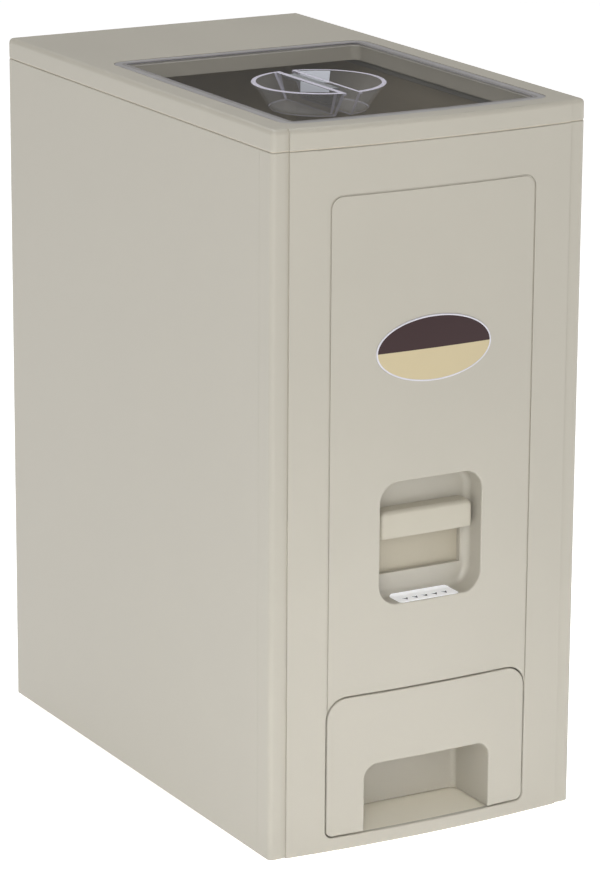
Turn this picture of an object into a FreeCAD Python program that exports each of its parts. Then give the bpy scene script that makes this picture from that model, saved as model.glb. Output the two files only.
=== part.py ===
# Free-standing rice dispenser: a tall slim bin with a hinged lid over a grain hopper, a metering
# drum worked by a press lever on the front, and a pull-out drawer that catches each portion.
# Units are millimetres. X runs left to right, Y front to back, Z up; the origin is on the floor,
# under the middle of the bounding box.
import FreeCAD, Part
import math
import os
from FreeCAD import Vector as V

os.makedirs("parts", exist_ok=True)

# ---- Case -------------------------------------------------------------------------------------
overall_depth = 327.5        # front of the badge to the back of the hinge barrels
overall_height = 406.0
body_width = 194.0
foot_height = 3.0            # how far the rubber feet stand out of the base
lid_height = 12.0            # lid seam to lid top
wall = 2.6                   # moulded outer walls
corner_round = 3.0           # upright corners of the case
strip_width = 10.0           # flat strip at each front corner, beside the raised and bowed middle
bow_proud = 5.6              # bow's crown ahead of the flat corner strips
bow_step = 1.2               # step where the bow starts beside each strip
seam_gap = 0.4               # between the lid and the body
seam_round = 0.7             # softened edges on both sides of the lid seam
lid_round = 2.8              # top edge of the lid
fit = 0.2                    # clearance between mouldings that nest
fascia_wrap = 13.4           # the fascia's return round each front corner
rear_wrap = 13.0             # the side panels' return round each rear corner

# ---- Inside the case --------------------------------------------------------------------------
clip_tab_low = 17.0          # lowest clip tab above the body's foot
clip_tab_high = 64.0         # foot of the highest clip tab below the lid seam
clip_tab_pitch = 90.0
clip_tab_length = 40.0
clip_tab_reach = 7.5
clip_tab_thickness = 2.0
panel_rib = 2.0
panel_rib_depth = 1.6
panel_rib_pitch = 75.0
ledge_depth = 3.4            # side ledges that carry the hopper's rim and the drawer bay
ledge_front_inset = 32.0     # ledge to the hopper's front and rear walls
ledge_rear_inset = 11.5
bay_ledge_inset = 12.0
rear_lip = 7.0               # rear panel's lips behind the side panels' returns
rear_lip_root = 6.0
rear_lip_thickness = 2.3
rear_lip_drop = 16.0         # below the lid seam
base_tab_half = 6.0          # tabs that take the base screws
base_tab_height = 3.0
base_tab_spread = 60.0       # side panels' tabs ahead of and behind the middle
front_tab_inset = 17.0       # fascia's tabs from the case's side
front_tab_setback = 4.0      # ahead of the fascia's seam

# ---- Hinge ------------------------------------------------------------------------------------
knuckle_radius = 2.6
hinge_gap = 0.3              # barrels to the rear face
hinge_pin_radius = 1.2
hinge_pin_play = 0.06
knuckle_length = 14.0
knuckle_gap = 0.4
hinge_inset = 35.0           # middle of each hinge from the case's side

# ---- Lid and window ---------------------------------------------------------------------------
window_side_gap = 14.7       # window to the case's side
window_setback = 13.25       # crown of the front to the crown of the window's bowed front edge
window_length = 207.8
window_bow = 3.2
window_corner = 10.0
window_thickness = 1.9
window_sink = 0.2            # window top below the lid top
window_ledge = 4.6           # ledge that carries the window, inside its edge
ledge_thickness = 2.2
tape_thickness = 0.6
tape_width = 3.6
well_wall = 2.0
well_depth = 10.6            # window opening wall, from the lid top
seal_width = 3.4
seal_height = 2.4
seal_gap = 0.4               # seal to the hopper rim with the lid down

# ---- Repellent dish under the window ----------------------------------------------------------
dish_setback = 126.25        # crown of the front to the middle of the dish
dish_rim_radius = 37.5
dish_rim_height = 1.3
dish_top_radius = 36.0
dish_base_radius = 27.5
dish_depth = 14.7
dish_wall = 1.3
dish_split = 4.4             # gap between the two halves

# ---- Hopper -----------------------------------------------------------------------------------
hopper_wall = 2.0
hopper_side_gap = 6.0        # hopper's walls to the outside of the case
hopper_front_gap = 11.25
hopper_rear_gap = 6.75
hopper_corner = 8.0
hopper_rim_drop = 6.0        # hopper rim below the lid seam
hopper_flange = 2.0
hopper_flange_drop = 0.5     # flange top below the rim
hopper_straight = 105.0      # straight bin above the funnel
throat_play = 1.5            # straight throat above the drum's crown
outlet_flange = 2.6
outlet_flange_width = 7.0

# ---- Metering drum and its housing ------------------------------------------------------------
drum_radius = 46.0
drum_side_space = 37.0       # case's side to each end of the drum: gears at one, spring at the other
drum_wall = 2.5
drum_slide_gap = 1.35        # lever's slide to the housing's ring
drum_gap = 0.5               # drum to its housing, all round
hub_radius = 8.0
pocket_half_angle = 45.0
drum_window_radius = 8.0     # holes in the drum's ends, behind the pocket
drum_window_at = 27.0
housing_wall = 2.5
outlet_drop = 9.0            # hopper's outlet flange below the drum's crown
housing_foot = 13.0
housing_floor_gap = 1.4      # under the drum's ring
housing_foot_thickness = 2.5
housing_post_gap = 4.0       # spring post's foot to the housing's feet
housing_screw_inset = 7.0
discharge_from = -88.0       # discharge opening round the drum, in degrees from the rear
discharge_to = -5.0
shaft_radius = 4.0
shaft_play = 0.05
press_play = 0.02
bush_wall = 3.0
bush_flange = 2.0
bush_flange_thickness = 1.5
clip_radius = 7.0
clip_thickness = 1.0
clip_play = 0.3

# ---- Gears and rack ---------------------------------------------------------------------------
gear_module = 1.0
pressure_angle = 20.0
tooth_play = 0.16
drum_teeth = 28
idler_teeth = 32
gear_width = 8.0
gear_play = 1.5              # bush flange to the gears
idler_pin_radius = 3.0
idler_head_radius = 5.5
idler_head = 2.2
idler_boss_radius = 6.5

# ---- Press lever ------------------------------------------------------------------------------
lever_travel = 23.0
recess_half = 32.1
recess_bottom = 139.7
recess_top = 208.6
recess_corner = 11.5
recess_depth = 15.0          # bow's crown to the recess back
recess_inner_round = 4.0
recess_wall = 2.0
lip_round = 0.8              # softened edges of the recess, the drawer opening and the drawer
slot_half = 27.3
slot_spare = 3.0             # slot below the knob's neck at full travel
slot_top = 188.3
backplate_wall = 3.0
backplate_half = 46.0
backplate_margin = 9.7       # below the recess
backplate_corner = 6.0
knob_half = 29.2
knob_height = 15.2
knob_cover = 2.5             # knob above the top of the slot
knob_front_gap = 5.0         # knob front behind the bow's crown
knob_gap = 0.5               # knob to the recess back
knob_round = 2.6             # front edges
knob_corner = 4.2            # upper corners
knob_neck_half = 22.0
knob_neck_height = 9.0
slide_gap = 0.4              # slide to the recess back
slide_thickness = 2.5
slide_half = 28.6
slide_skirt = 4.7            # slide below the slot
wing_half = 33.0
wing_gap = 5.7               # wings above the slot
wing_height = 22.0
arm_rise = 3.0               # arm above the foot of the wings
arm_height = 10.0
arm_gap = 2.6                # slide plate to the arm behind the guides
arm_thickness = 3.0
arm_root_half = 28.0
rack_back = 7.0              # depth of the rack bar ahead of its root line
rack_below_axis = 7.0
guide_wall = 3.6
guide_lip = 3.9
guide_lip_thickness = 2.0
guide_margin = 4.0           # guides beyond the wings at both ends of their travel
guide_play = 0.3
guide_ear = 8.0
guide_screw_inset = 10.0

# ---- Return spring ----------------------------------------------------------------------------
spring_inset = 19.0          # spring's axis from the case's side
spring_setback = 23.25       # crown of the front to the spring's axis
post_radius = 3.0
post_play = 0.4
post_foot_radius = 8.0
post_foot_height = 2.0
post_clearance = 10.0        # post top above the arm at rest
spring_radius = 5.2
spring_wire = 1.2
spring_turns = 9
spring_seat_gap = 0.3
eye_radius = 7.4

# ---- Base, drawer bay and drawer --------------------------------------------------------------
deck_top = 10.6
deck_thickness = 2.4
base_wall = 2.4
base_rib = 1.6
base_rib_pitch_x = 42.0
base_rib_pitch_y = 66.0
foot_radius = 8.0
foot_inset = 19.0            # feet from the case's side
foot_setback = 35.25         # crown of the front to the front feet
foot_rear_inset = 24.25
foot_boss_radius = 10.0
foot_stem_radius = 3.0
foot_stem = 4.0
foot_edge = 0.8
bay_play = 3.5               # drawer front to the bay's side walls
bay_wall = 2.5
bay_setback = 13.25          # crown of the front to the bay
bay_length = 220.0
bay_foot = 6.0
bay_foot_length = 90.0
bay_foot_thickness = 2.0
bay_deck_rise = 4.7          # bay's deck above the drawer front
bay_deck_thickness = 2.5
bay_lintel = 4.9
bay_lintel_thickness = 2.5
runner_height = 1.2
runner_width = 6.0
runner_inset = 5.0           # from the tray's side
runner_rear_gap = 6.0
runner_gap = 0.3
drawer_side_gap = 34.0       # drawer front to the case's side
drawer_front_top = 90.3
drawer_front_corner = 12.0
drawer_foot_corner = 4.0
drawer_front_thickness = 3.0
drawer_gap = 0.7             # round the drawer front
pull_side_gap = 18.0         # finger pull inside the tray's sides
pull_top = 49.7
pull_corner = 8.5
pull_inner_round = 3.0
pull_depth = 37.0            # bow's crown to the pocket's back wall
pull_wall = 2.0
tray_side_gap = 5.0          # tray inside the drawer front's ends
tray_rear_gap = 28.0         # tray to the rear of the bay
tray_wall = 2.0
tray_lintel_gap = 0.6        # under the bay's lintel
tray_corner = 4.0
tray_gap = 0.4
stop_height = 3.0
stop_root = 6.0
stop_width = 10.0
stop_thickness = 2.0
stop_play = 0.4

# ---- Chute ------------------------------------------------------------------------------------
chute_plate = 1.6
chute_side_gap = 3.5         # inside the tray's sides
chute_wall = 1.4
chute_drop = 4.0             # below the bay's deck
chute_front_taper = 1.0      # how far the funnel's foot is drawn in
chute_rear_taper = 4.0

# ---- Front details ----------------------------------------------------------------------------
groove_drop = 25.6           # below the lid seam
groove_corner = 7.0
groove_width = 1.1
groove_depth = 0.7
badge_half = 35.9
badge_rise = 18.2
badge_drop = 113.4           # its middle below the lid seam
badge_sink = 0.6
badge_proud = 0.5            # how far the badge stands out of the bow
badge_play = 0.15

# ---- Fasteners --------------------------------------------------------------------------------
screw_radius = 1.5
screw_head_radius = 2.9
screw_head = 1.8
screw_head_crown = 2.2       # radius of the head's flat top
screw_play = 0.05
head_play = 0.2
boss_radius = 3.6
boss_length = 4.0
base_screw_length = 5.0
rear_screw_length = 6.0
rear_boss_length = 8.0
rear_screw_sink = 1.6        # heads below the rear face
rear_screw_inset = 9.0       # from the case's side
rear_screw_low = 37.0        # lowest above the body's foot
rear_screw_pitch = 100.0
housing_screw_length = 6.0
guide_screw_length = 6.0
knob_screw_length = 9.0
knob_screw_at = 13.0         # each side of the middle
drawer_screw_length = 5.0
drawer_screw_inset = 8.0     # from the tray's side
drawer_screw_z = 66.0
drawer_pad_half = 5.0

# ---- Worked out from the sizes above ----------------------------------------------------------
half = body_width / 2
bow_width = body_width - 2 * strip_width
front_y = badge_proud - overall_depth / 2
bow_rise = bow_proud - bow_step
bow_radius = ((bow_width / 2) ** 2 + bow_rise ** 2) / (2 * bow_rise)
hinge_y = overall_depth / 2 - knuckle_radius
rear_y = hinge_y - knuckle_radius - hinge_gap
strip_y = front_y + bow_proud
bow_edge_y = strip_y - bow_step
body_bottom = foot_height
lid_top = overall_height
seam_z = lid_top - lid_height
hinge_z = seam_z + seam_gap / 2
fascia_seam_y = strip_y + fascia_wrap
rear_return = half - rear_wrap
inner_half = half - wall
deck_bottom = deck_top - deck_thickness
hinge_spread = half - hinge_inset
base_tabs = [(side * (inner_half - base_tab_half), y)
             for side in (-1, 1) for y in (-base_tab_spread, base_tab_spread)]
front_tabs = [(side * (half - front_tab_inset), fascia_seam_y - front_tab_setback) for side in (-1, 1)]
clip_tab_heights = [body_bottom + clip_tab_low, body_bottom + clip_tab_low + clip_tab_pitch,
                    seam_z - clip_tab_high - clip_tab_pitch, seam_z - clip_tab_high]
rear_lip_top = seam_z - rear_lip_drop

window_half = half - window_side_gap
window_front = front_y + window_setback
window_rear = window_front + window_length
dish_centre_y = front_y + dish_setback
window_top = lid_top - window_sink
window_bottom = window_top - window_thickness
ledge_top = window_bottom - tape_thickness
lid_floor = lid_top - wall

hopper_half = half - hopper_side_gap
hopper_front = front_y + hopper_front_gap
hopper_rear = rear_y - hopper_rear_gap
rim_z = seam_z - hopper_rim_drop
hopper_slope_top = rim_z - hopper_straight
flange_top = rim_z - hopper_flange_drop
flange_bottom = flange_top - hopper_flange

recess_back = front_y + recess_depth
backplate_y = recess_back + backplate_wall
slide_front = backplate_y + slide_gap
slide_rear = slide_front + slide_thickness
arm_front = slide_rear + arm_gap
arm_rear = arm_front + arm_thickness
knob_bottom = slot_top + knob_cover - knob_height
slot_bottom = knob_bottom + (knob_height - knob_neck_height) / 2 - lever_travel - slot_spare

bay_deck_top = drawer_front_top + bay_deck_rise
drum_half = half - drum_side_space
drum_cavity = drum_radius + drum_gap
housing_radius = drum_cavity + housing_wall
drum_axis_y = slide_rear + drum_slide_gap + housing_radius
cavity_half = drum_half + drum_gap
housing_half = cavity_half + housing_wall
housing_floor = bay_deck_top + chute_plate
drum_axis_z = housing_floor + housing_radius + housing_floor_gap
outlet_z = drum_axis_z + drum_radius - outlet_drop
outlet_half_y = drum_cavity * math.sin(math.radians(pocket_half_angle))
gear_x = housing_half + bush_flange_thickness + gear_play
bush_radius = shaft_radius + bush_wall

drum_pitch = gear_module * drum_teeth / 2
idler_pitch = gear_module * idler_teeth / 2
idler_y = drum_axis_y - drum_pitch - idler_pitch
rack_pitch_y = idler_y - idler_pitch
rack_root_y = rack_pitch_y - 1.25 * gear_module

slide_bottom = slot_bottom - slide_skirt
wing_bottom = slot_top + wing_gap
slide_top = wing_bottom + wing_height
arm_bottom = wing_bottom + arm_rise
rack_bottom = drum_axis_z - rack_below_axis
guide_bottom = wing_bottom - lever_travel - guide_margin
guide_top = slide_top + guide_margin
backplate_bottom = recess_bottom - backplate_margin
backplate_top = guide_top + guide_margin
spring_x = spring_inset - half
spring_y = front_y + spring_setback
housing_front = spring_y + post_foot_radius + housing_post_gap

foot_x = half - foot_inset
foot_front_y = front_y + foot_setback
foot_rear_y = rear_y - foot_rear_inset
drawer_half = half - drawer_side_gap
drawer_front_bottom = deck_top + drawer_gap
bay_half = drawer_half + bay_play
bay_front = front_y + bay_setback
bay_rear = bay_front + bay_length
tray_half = drawer_half - tray_side_gap
tray_rear = bay_rear - tray_rear_gap
runner_at = tray_half - runner_inset
pull_half = tray_half - pull_side_gap
tray_bottom = deck_top + runner_height + runner_gap
tray_front = front_y + bow_proud - bow_step + drawer_front_thickness - 1.0
pull_back = front_y + pull_depth
lintel_bottom = bay_deck_top - bay_deck_thickness - bay_lintel
tray_top = lintel_bottom - tray_lintel_gap
drawer_travel = tray_rear - stop_thickness - (bay_front + bay_lintel_thickness) - stop_play
chute_half = tray_half - chute_side_gap
chute_bottom = bay_deck_top - chute_drop

groove_half = drawer_half + drawer_gap / 2
groove_top = seam_z - groove_drop
badge_centre_z = seam_z - badge_drop


# ---- Shape helpers ----------------------------------------------------------------------------
def box(x0, x1, y0, y1, z0, z1):
    return Part.makeBox(x1 - x0, y1 - y0, z1 - z0, V(x0, y0, z0))


def rod(radius, start, end):
    # round bar from one point to another
    run = V(*end).sub(V(*start))
    return Part.makeCylinder(radius, run.Length, V(*start), run)


def on_plan(z):
    return lambda u, v: V(u, v, z)


def on_front(y):
    return lambda u, v: V(u, y, v)


def on_side(x):
    return lambda u, v: V(x, u, v)


def rounded_wire(corners, place):
    # closed outline through corners (u, v, radius); each corner with a radius gets its own arc
    stations = []
    for index, (u, v, radius) in enumerate(corners):
        here = V(u, v, 0)
        if radius == 0:
            stations.append((here, here, here, 0))
            continue
        back = V(*corners[index - 1][:2], 0).sub(here).normalize()
        ahead = V(*corners[(index + 1) % len(corners)][:2], 0).sub(here).normalize()
        half_angle = back.getAngle(ahead) / 2
        reach = radius / math.tan(half_angle)
        inward = (back + ahead).normalize()
        middle = here + inward * (radius / math.sin(half_angle) - radius)
        stations.append((here + back * reach, middle, here + ahead * reach, radius))
    edges = []
    for index, (start, middle, end, radius) in enumerate(stations):
        if radius > 0:
            arc = [place(point.x, point.y) for point in (start, middle, end)]
            edges.append(Part.Arc(*arc).toShape())
        ahead = stations[(index + 1) % len(stations)][0]
        if ahead.distanceToPoint(end) > 1e-6:
            edges.append(Part.LineSegment(place(end.x, end.y), place(ahead.x, ahead.y)).toShape())
    return Part.Wire(edges)


def prism(corners, place, push):
    return Part.Face(rounded_wire(corners, place)).extrude(push)


def rounded_rect(u0, u1, v0, v1, radius):
    return [(u0, v0, radius), (u1, v0, radius), (u1, v1, radius), (u0, v1, radius)]


def rounded_box(x0, x1, y0, y1, z0, z1, radius):
    # box with rounded upright edges
    return prism(rounded_rect(x0, x1, y0, y1, radius), on_plan(z0), V(0, 0, z1 - z0))


def edges_where(shape, test):
    # edges whose two ends and middle all satisfy the test
    found = []
    for edge in shape.Edges:
        points = [edge.valueAt(edge.FirstParameter), edge.valueAt(edge.LastParameter),
                  edge.valueAt((edge.FirstParameter + edge.LastParameter) / 2)]
        if all(test(point) for point in points):
            found.append(edge)
    return found


def tapered_block(low, high, z0, z1):
    # flat-sided funnel form between two level rectangles (x0, x1, y0, y1)
    def ring(rectangle, z):
        x0, x1, y0, y1 = rectangle
        return [V(x0, y0, z), V(x1, y0, z), V(x1, y1, z), V(x0, y1, z)]

    foot, top = ring(low, z0), ring(high, z1)
    rings = [foot, top] + [[foot[i - 1], foot[i], top[i], top[i - 1]] for i in range(4)]
    faces = [Part.Face(Part.makePolygon(points + points[:1])) for points in rings]
    return Part.Solid(Part.Shell(faces))


def bow_at(x):
    # how far forward the bowed front stands at a place across it
    return front_y + bow_radius - math.sqrt(bow_radius ** 2 - x ** 2)


def bow_edges(shape, reach, z0, z1):
    # edges that lie on the bowed face, within a window of it
    return edges_where(shape, lambda point: abs(point.x) < reach + 0.01
                       and abs(point.y - bow_at(point.x)) < 0.01
                       and z0 - 0.01 < point.z < z1 + 0.01)


def at_height(shape, z):
    return edges_where(shape, lambda point: abs(point.z - z) < 1e-4)


def join(shapes):
    whole = shapes[0].multiFuse(shapes[1:]) if len(shapes) > 1 else shapes[0]
    return whole.removeSplitter()


def bowed_block(inset, z0, z1, top_round=0.0, foot_round=0.0):
    # the case's plan, drawn in by an inset: square back, flat corner strips and a bowed front
    corner = max(corner_round - inset, 0.4)
    block = rounded_box(inset - half, half - inset, strip_y + inset, rear_y - inset, z0, z1, corner)
    bow_half = bow_width / 2 - inset
    edge_y = bow_edge_y + inset
    root_y = strip_y + inset + corner_round + lid_round
    arc = Part.Arc(V(-bow_half, edge_y, z0), V(0, front_y + inset, z0), V(bow_half, edge_y, z0))
    sides = [V(bow_half, edge_y, z0), V(bow_half, root_y, z0),
             V(-bow_half, root_y, z0), V(-bow_half, edge_y, z0)]
    lines = [Part.LineSegment(a, b).toShape() for a, b in zip(sides, sides[1:])]
    bow = Part.Face(Part.Wire([arc.toShape()] + lines)).extrude(V(0, 0, z1 - z0))
    for rounding, z in ((top_round, z1), (foot_round, z0)):
        if rounding > 0:
            block = block.makeFillet(rounding, at_height(block, z))
            front = [edge for edge in at_height(bow, z) if edge.CenterOfMass.y < edge_y]
            bow = bow.makeFillet(rounding, front)
    return block.fuse(bow).removeSplitter()


def screw(head, toward, length):
    # tapered head: its point lies on the clamped face and the shank runs the given way
    way = V(*toward)
    base = V(*head)
    top = Part.makeCone(screw_head_radius, screw_head_crown, screw_head, base, way * -1)
    return top.fuse(Part.makeCylinder(screw_radius, length, base, way))


def screw_hole(head, toward, length):
    # the hole that a screw's shank runs in
    way = V(*toward)
    return Part.makeCylinder(screw_radius + screw_play, length + 0.3, V(*head) - way * 0.2, way)


def save(name, shape):
    shape.exportStep("parts/" + name + ".step")
    print("%-20s solids %2d  volume %9.1f  valid %s"
          % (name, len(shape.Solids), shape.Volume, shape.isValid()))


# ---- Screw places, shared by the screws and the holes they run in ------------------------------
def base_screw_seats():
    return [(x, y, deck_bottom) for x, y in base_tabs + front_tabs]


def housing_screw_seats():
    z = housing_floor + housing_foot_thickness
    ys = (housing_front + housing_screw_inset, drum_axis_y + housing_radius - housing_screw_inset)
    return [(side * (housing_half + housing_screw_inset), y, z) for side in (-1, 1) for y in ys]


def rear_screw_seats():
    heights = [body_bottom + rear_screw_low + step * rear_screw_pitch for step in range(3)]
    return [(side * (half - rear_screw_inset), rear_y, z) for side in (-1, 1) for z in heights]


def guide_screw_seats():
    x = wing_half + guide_play + guide_wall + guide_ear / 2
    heights = (guide_bottom + guide_screw_inset, guide_top - guide_screw_inset)
    return [(side * x, backplate_y + guide_lip_thickness, z) for side in (-1, 1) for z in heights]


# ---- Case pieces ------------------------------------------------------------------------------
def case_shell():
    outside = bowed_block(0, body_bottom, seam_z, seam_round, seam_round)
    return outside.cut(bowed_block(wall, body_bottom - 1, seam_z + 1))


def base_tray():
    outer = bowed_block(wall + fit, body_bottom, deck_top)
    hollow = bowed_block(wall + fit + base_wall, body_bottom - 1, deck_bottom)
    tray = outer.cut(hollow)
    reach = half - wall - base_wall
    ribs = [box(x - base_rib / 2, x + base_rib / 2, strip_y + 6, rear_y - 6, body_bottom + 1, deck_bottom)
            for x in (-base_rib_pitch_x, 0, base_rib_pitch_x)]
    ribs += [box(-reach, reach, y - base_rib / 2, y + base_rib / 2, body_bottom + 1, deck_bottom)
             for y in [(index - 1.5) * base_rib_pitch_y for index in range(4)]]
    bosses = [rod(foot_boss_radius, (x, y, body_bottom), (x, y, deck_bottom)) for x, y in foot_places()]
    tray = join([tray] + ribs + bosses)
    for x, y in foot_places():
        tray = tray.cut(rod(foot_stem_radius + press_play, (x, y, 0), (x, y, body_bottom + foot_stem + fit)))
    for seat in base_screw_seats():
        tray = tray.cut(screw_hole(seat, (0, 0, 1), base_screw_length))
    return tray


def foot_places():
    return [(side * foot_x, y) for side in (-1, 1) for y in (foot_front_y, foot_rear_y)]


def rubber_feet():
    feet = []
    for x, y in foot_places():
        pad = rod(foot_radius, (x, y, 0), (x, y, body_bottom))
        pad = pad.makeChamfer(foot_edge, at_height(pad, 0))
        feet.append(pad.fuse(rod(foot_stem_radius, (x, y, body_bottom), (x, y, body_bottom + foot_stem))))
    return Part.makeCompound(feet)


def side_panel(side):
    def across(x0, x1, y0, y1, z0, z1):
        return box(min(side * x0, side * x1), max(side * x0, side * x1), y0, y1, z0, z1)

    keep = across(rear_return, half + 1, fascia_seam_y, rear_y + 1, 0, overall_height)
    pieces = [case_shell().common(keep)]
    for z in clip_tab_heights:
        pieces.append(across(inner_half - fit - clip_tab_thickness, inner_half - fit,
                             fascia_seam_y - clip_tab_reach, fascia_seam_y + clip_tab_reach,
                             z, z + clip_tab_length))
        pieces.append(across(inner_half - fit, inner_half, fascia_seam_y, fascia_seam_y + clip_tab_reach,
                             z, z + clip_tab_length))
    for y in (-panel_rib_pitch, 0, panel_rib_pitch):
        pieces.append(across(inner_half - panel_rib_depth, inner_half, y - panel_rib / 2, y + panel_rib / 2,
                             bay_deck_top + panel_rib, flange_bottom - 2 * hopper_flange))
    pieces.append(across(inner_half - ledge_depth, inner_half, hopper_front + ledge_front_inset,
                         hopper_rear - ledge_rear_inset, flange_bottom - hopper_flange, flange_bottom))
    bay_bottom = bay_deck_top - bay_deck_thickness
    pieces.append(across(inner_half - ledge_depth, inner_half, bay_front + bay_ledge_inset, bay_rear,
                         bay_bottom - bay_wall, bay_bottom))
    for x, y in base_tabs:
        if x * side > 0:
            pieces.append(box(x - base_tab_half, x + base_tab_half, y - base_tab_half, y + base_tab_half,
                              deck_top, deck_top + base_tab_height))
    panel = join(pieces)
    for seat in base_screw_seats():
        panel = panel.cut(screw_hole(seat, (0, 0, 1), base_screw_length))
    for seat in rear_screw_seats():
        panel = panel.cut(screw_hole(seat, (0, -1, 0), rear_boss_length))
        panel = panel.cut(rod(screw_head_radius + head_play, (seat[0], rear_y - rear_screw_sink, seat[2]),
                              (seat[0], rear_y + 1, seat[2])))
    return panel


def rear_panel():
    edge = rear_return - fit
    panel = case_shell().common(box(-edge, edge, rear_y - wall - 0.1, rear_y + 1, 0, overall_height))
    lip_front = rear_y - wall - fit - rear_lip_thickness
    pieces = [panel]
    for side in (-1, 1):
        inner, outer = side * (edge - rear_lip_root), side * (edge + rear_lip)
        x0, x1 = min(inner, outer), max(inner, outer)
        pieces.append(box(x0, x1, lip_front, rear_y - wall - fit, deck_top + fit, rear_lip_top))
        root = side * edge
        pieces.append(box(min(inner, root), max(inner, root), lip_front, rear_y - wall,
                          deck_top + fit, rear_lip_top))
    for x, y, z in rear_screw_seats():
        pieces.append(rod(boss_radius, (x, lip_front - boss_length, z), (x, lip_front + 1, z)))
    pieces += [barrel for x in body_knuckles() for barrel in knuckle(x, knuckle_length, -1)]
    panel = join(pieces)
    for x, y, z in rear_screw_seats():
        panel = panel.cut(screw_hole((x, y, z), (0, -1, 0), rear_boss_length))
    for x in body_knuckles():
        panel = panel.cut(hinge_hole(x, knuckle_length, press_play))
    return panel


def body_knuckles():
    step = knuckle_length + knuckle_gap
    return [side * hinge_spread + shift for side in (-1, 1) for shift in (-step, step)]


def knuckle(x, length, way):
    # barrel with its web to the panel: way -1 hangs from the body, +1 stands on the lid
    ends = (x - length / 2, x + length / 2)
    barrel = rod(knuckle_radius, (ends[0], hinge_y, hinge_z), (ends[1], hinge_y, hinge_z))
    near = seam_z if way < 0 else seam_z + seam_gap
    far = hinge_z - 4 * knuckle_radius if way < 0 else hinge_z + knuckle_radius
    outline = [(rear_y - 1, near), (hinge_y + knuckle_radius * 0.9, near), (rear_y - 1, far)]
    if way > 0:
        outline = [(rear_y - 1, near), (hinge_y, near), (hinge_y, far), (rear_y - 1, far)]
    web = prism([(y, z, 0) for y, z in outline], on_side(ends[0]), V(length, 0, 0))
    return [barrel, web]


def hinge_hole(x, length, play):
    return rod(hinge_pin_radius + play, (x - length / 2 - 1, hinge_y, hinge_z),
               (x + length / 2 + 1, hinge_y, hinge_z))


def hinge_pins():
    reach = 1.5 * knuckle_length + knuckle_gap
    pins = []
    for side in (-1, 1):
        x = side * hinge_spread
        pins.append(rod(hinge_pin_radius, (x - reach, hinge_y, hinge_z), (x + reach, hinge_y, hinge_z)))
    return Part.makeCompound(pins)


def frame_line(width):
    # inverted U that follows the drawer's sides and closes over the front, as a band of the width
    def loop(grow):
        return prism([(-groove_half - grow, drawer_front_top - drawer_front_corner, 0),
                      (groove_half + grow, drawer_front_top - drawer_front_corner, 0),
                      (groove_half + grow, groove_top + grow, groove_corner + grow),
                      (-groove_half - grow, groove_top + grow, groove_corner + grow)],
                     on_front(front_y - 1), V(0, recess_depth, 0))

    band = loop(width / 2).cut(loop(-width / 2))
    return band.common(box(-half, half, front_y - 2, 0,
                           drawer_front_top - drawer_front_corner + 1, groove_top + 9))


def front_opening(half_width, bottom, top, foot_corner, top_corner, y0, y1):
    corners = [(-half_width, bottom, foot_corner), (half_width, bottom, foot_corner),
               (half_width, top, top_corner), (-half_width, top, top_corner)]
    return prism(corners, on_front(y0), V(0, y1 - y0, 0))


def badge_outline(grow, y0, y1):
    oval = Part.Ellipse(V(0, y0, badge_centre_z), badge_half + grow, badge_rise + grow).toShape()
    oval.rotate(V(0, y0, badge_centre_z), V(1, 0, 0), 90)
    return Part.Face(Part.Wire([oval])).extrude(V(0, y1 - y0, 0))


def front_fascia():
    wrap = box(-half - 1, half + 1, front_y - 1, fascia_seam_y - fit / 2, 0, overall_height)
    shell = case_shell().common(wrap)
    skin_y = front_y + wall
    tub = front_opening(recess_half + recess_wall, recess_bottom - recess_wall, recess_top + recess_wall,
                        recess_corner + recess_wall, recess_corner + recess_wall, skin_y - 1, backplate_y)
    tub = tub.common(bowed_block(wall / 2, 0, overall_height))
    backplate = front_opening(backplate_half, backplate_bottom, backplate_top, backplate_corner,
                              backplate_corner, recess_back, backplate_y)
    bosses = [rod(boss_radius, (x, backplate_y, z), (x, recess_back + 0.5 - boss_length, z))
              for x, y, z in guide_screw_seats()]
    tabs = [box(x - base_tab_half, x + base_tab_half, bow_edge_y + wall / 2, y + base_tab_half,
                deck_top, deck_top + base_tab_height) for x, y in front_tabs]
    fascia = join([shell, tub, backplate] + bosses + tabs)
    # recess with a rounded inside corner, and the slot the lever works through
    mouth = front_opening(recess_half, recess_bottom, recess_top, recess_corner, recess_corner,
                          front_y - 2, recess_back)
    back_edges = edges_where(mouth, lambda point: abs(point.y - recess_back) < 1e-4)
    mouth = mouth.makeFillet(recess_inner_round, back_edges)
    fascia = fascia.cut(mouth)
    fascia = fascia.cut(box(-slot_half, slot_half, recess_back - 1, backplate_y + 1, slot_bottom, slot_top))
    # drawer opening
    fascia = fascia.cut(front_opening(drawer_half + drawer_gap, deck_top, drawer_front_top + drawer_gap,
                                      drawer_foot_corner + drawer_gap, drawer_front_corner + drawer_gap,
                                      front_y - 2, fascia_seam_y))
    lips = bow_edges(fascia, recess_half, recess_bottom, recess_top)
    lips += bow_edges(fascia, drawer_half + drawer_gap, deck_top, drawer_front_top + drawer_gap)
    fascia = fascia.makeFillet(lip_round, lips)
    # shallow frame line and the badge's seat, both following the bow
    skin = bowed_block(groove_depth, 0, overall_height)
    fascia = fascia.cut(frame_line(groove_width).cut(skin))
    seat = badge_outline(badge_play, front_y - 2, front_y + 8).cut(bowed_block(badge_sink, 0, overall_height))
    fascia = fascia.cut(seat)
    for seat in base_screw_seats():
        fascia = fascia.cut(screw_hole(seat, (0, 0, 1), base_screw_length))
    for seat in guide_screw_seats():
        fascia = fascia.cut(screw_hole(seat, (0, -1, 0), guide_screw_length))
    return fascia


def badge_plate():
    oval = badge_outline(0, front_y - 2, front_y + 8)
    proud = bowed_block(-badge_proud, 0, overall_height)
    return oval.common(proud).cut(bowed_block(badge_sink, 0, overall_height))


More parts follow.
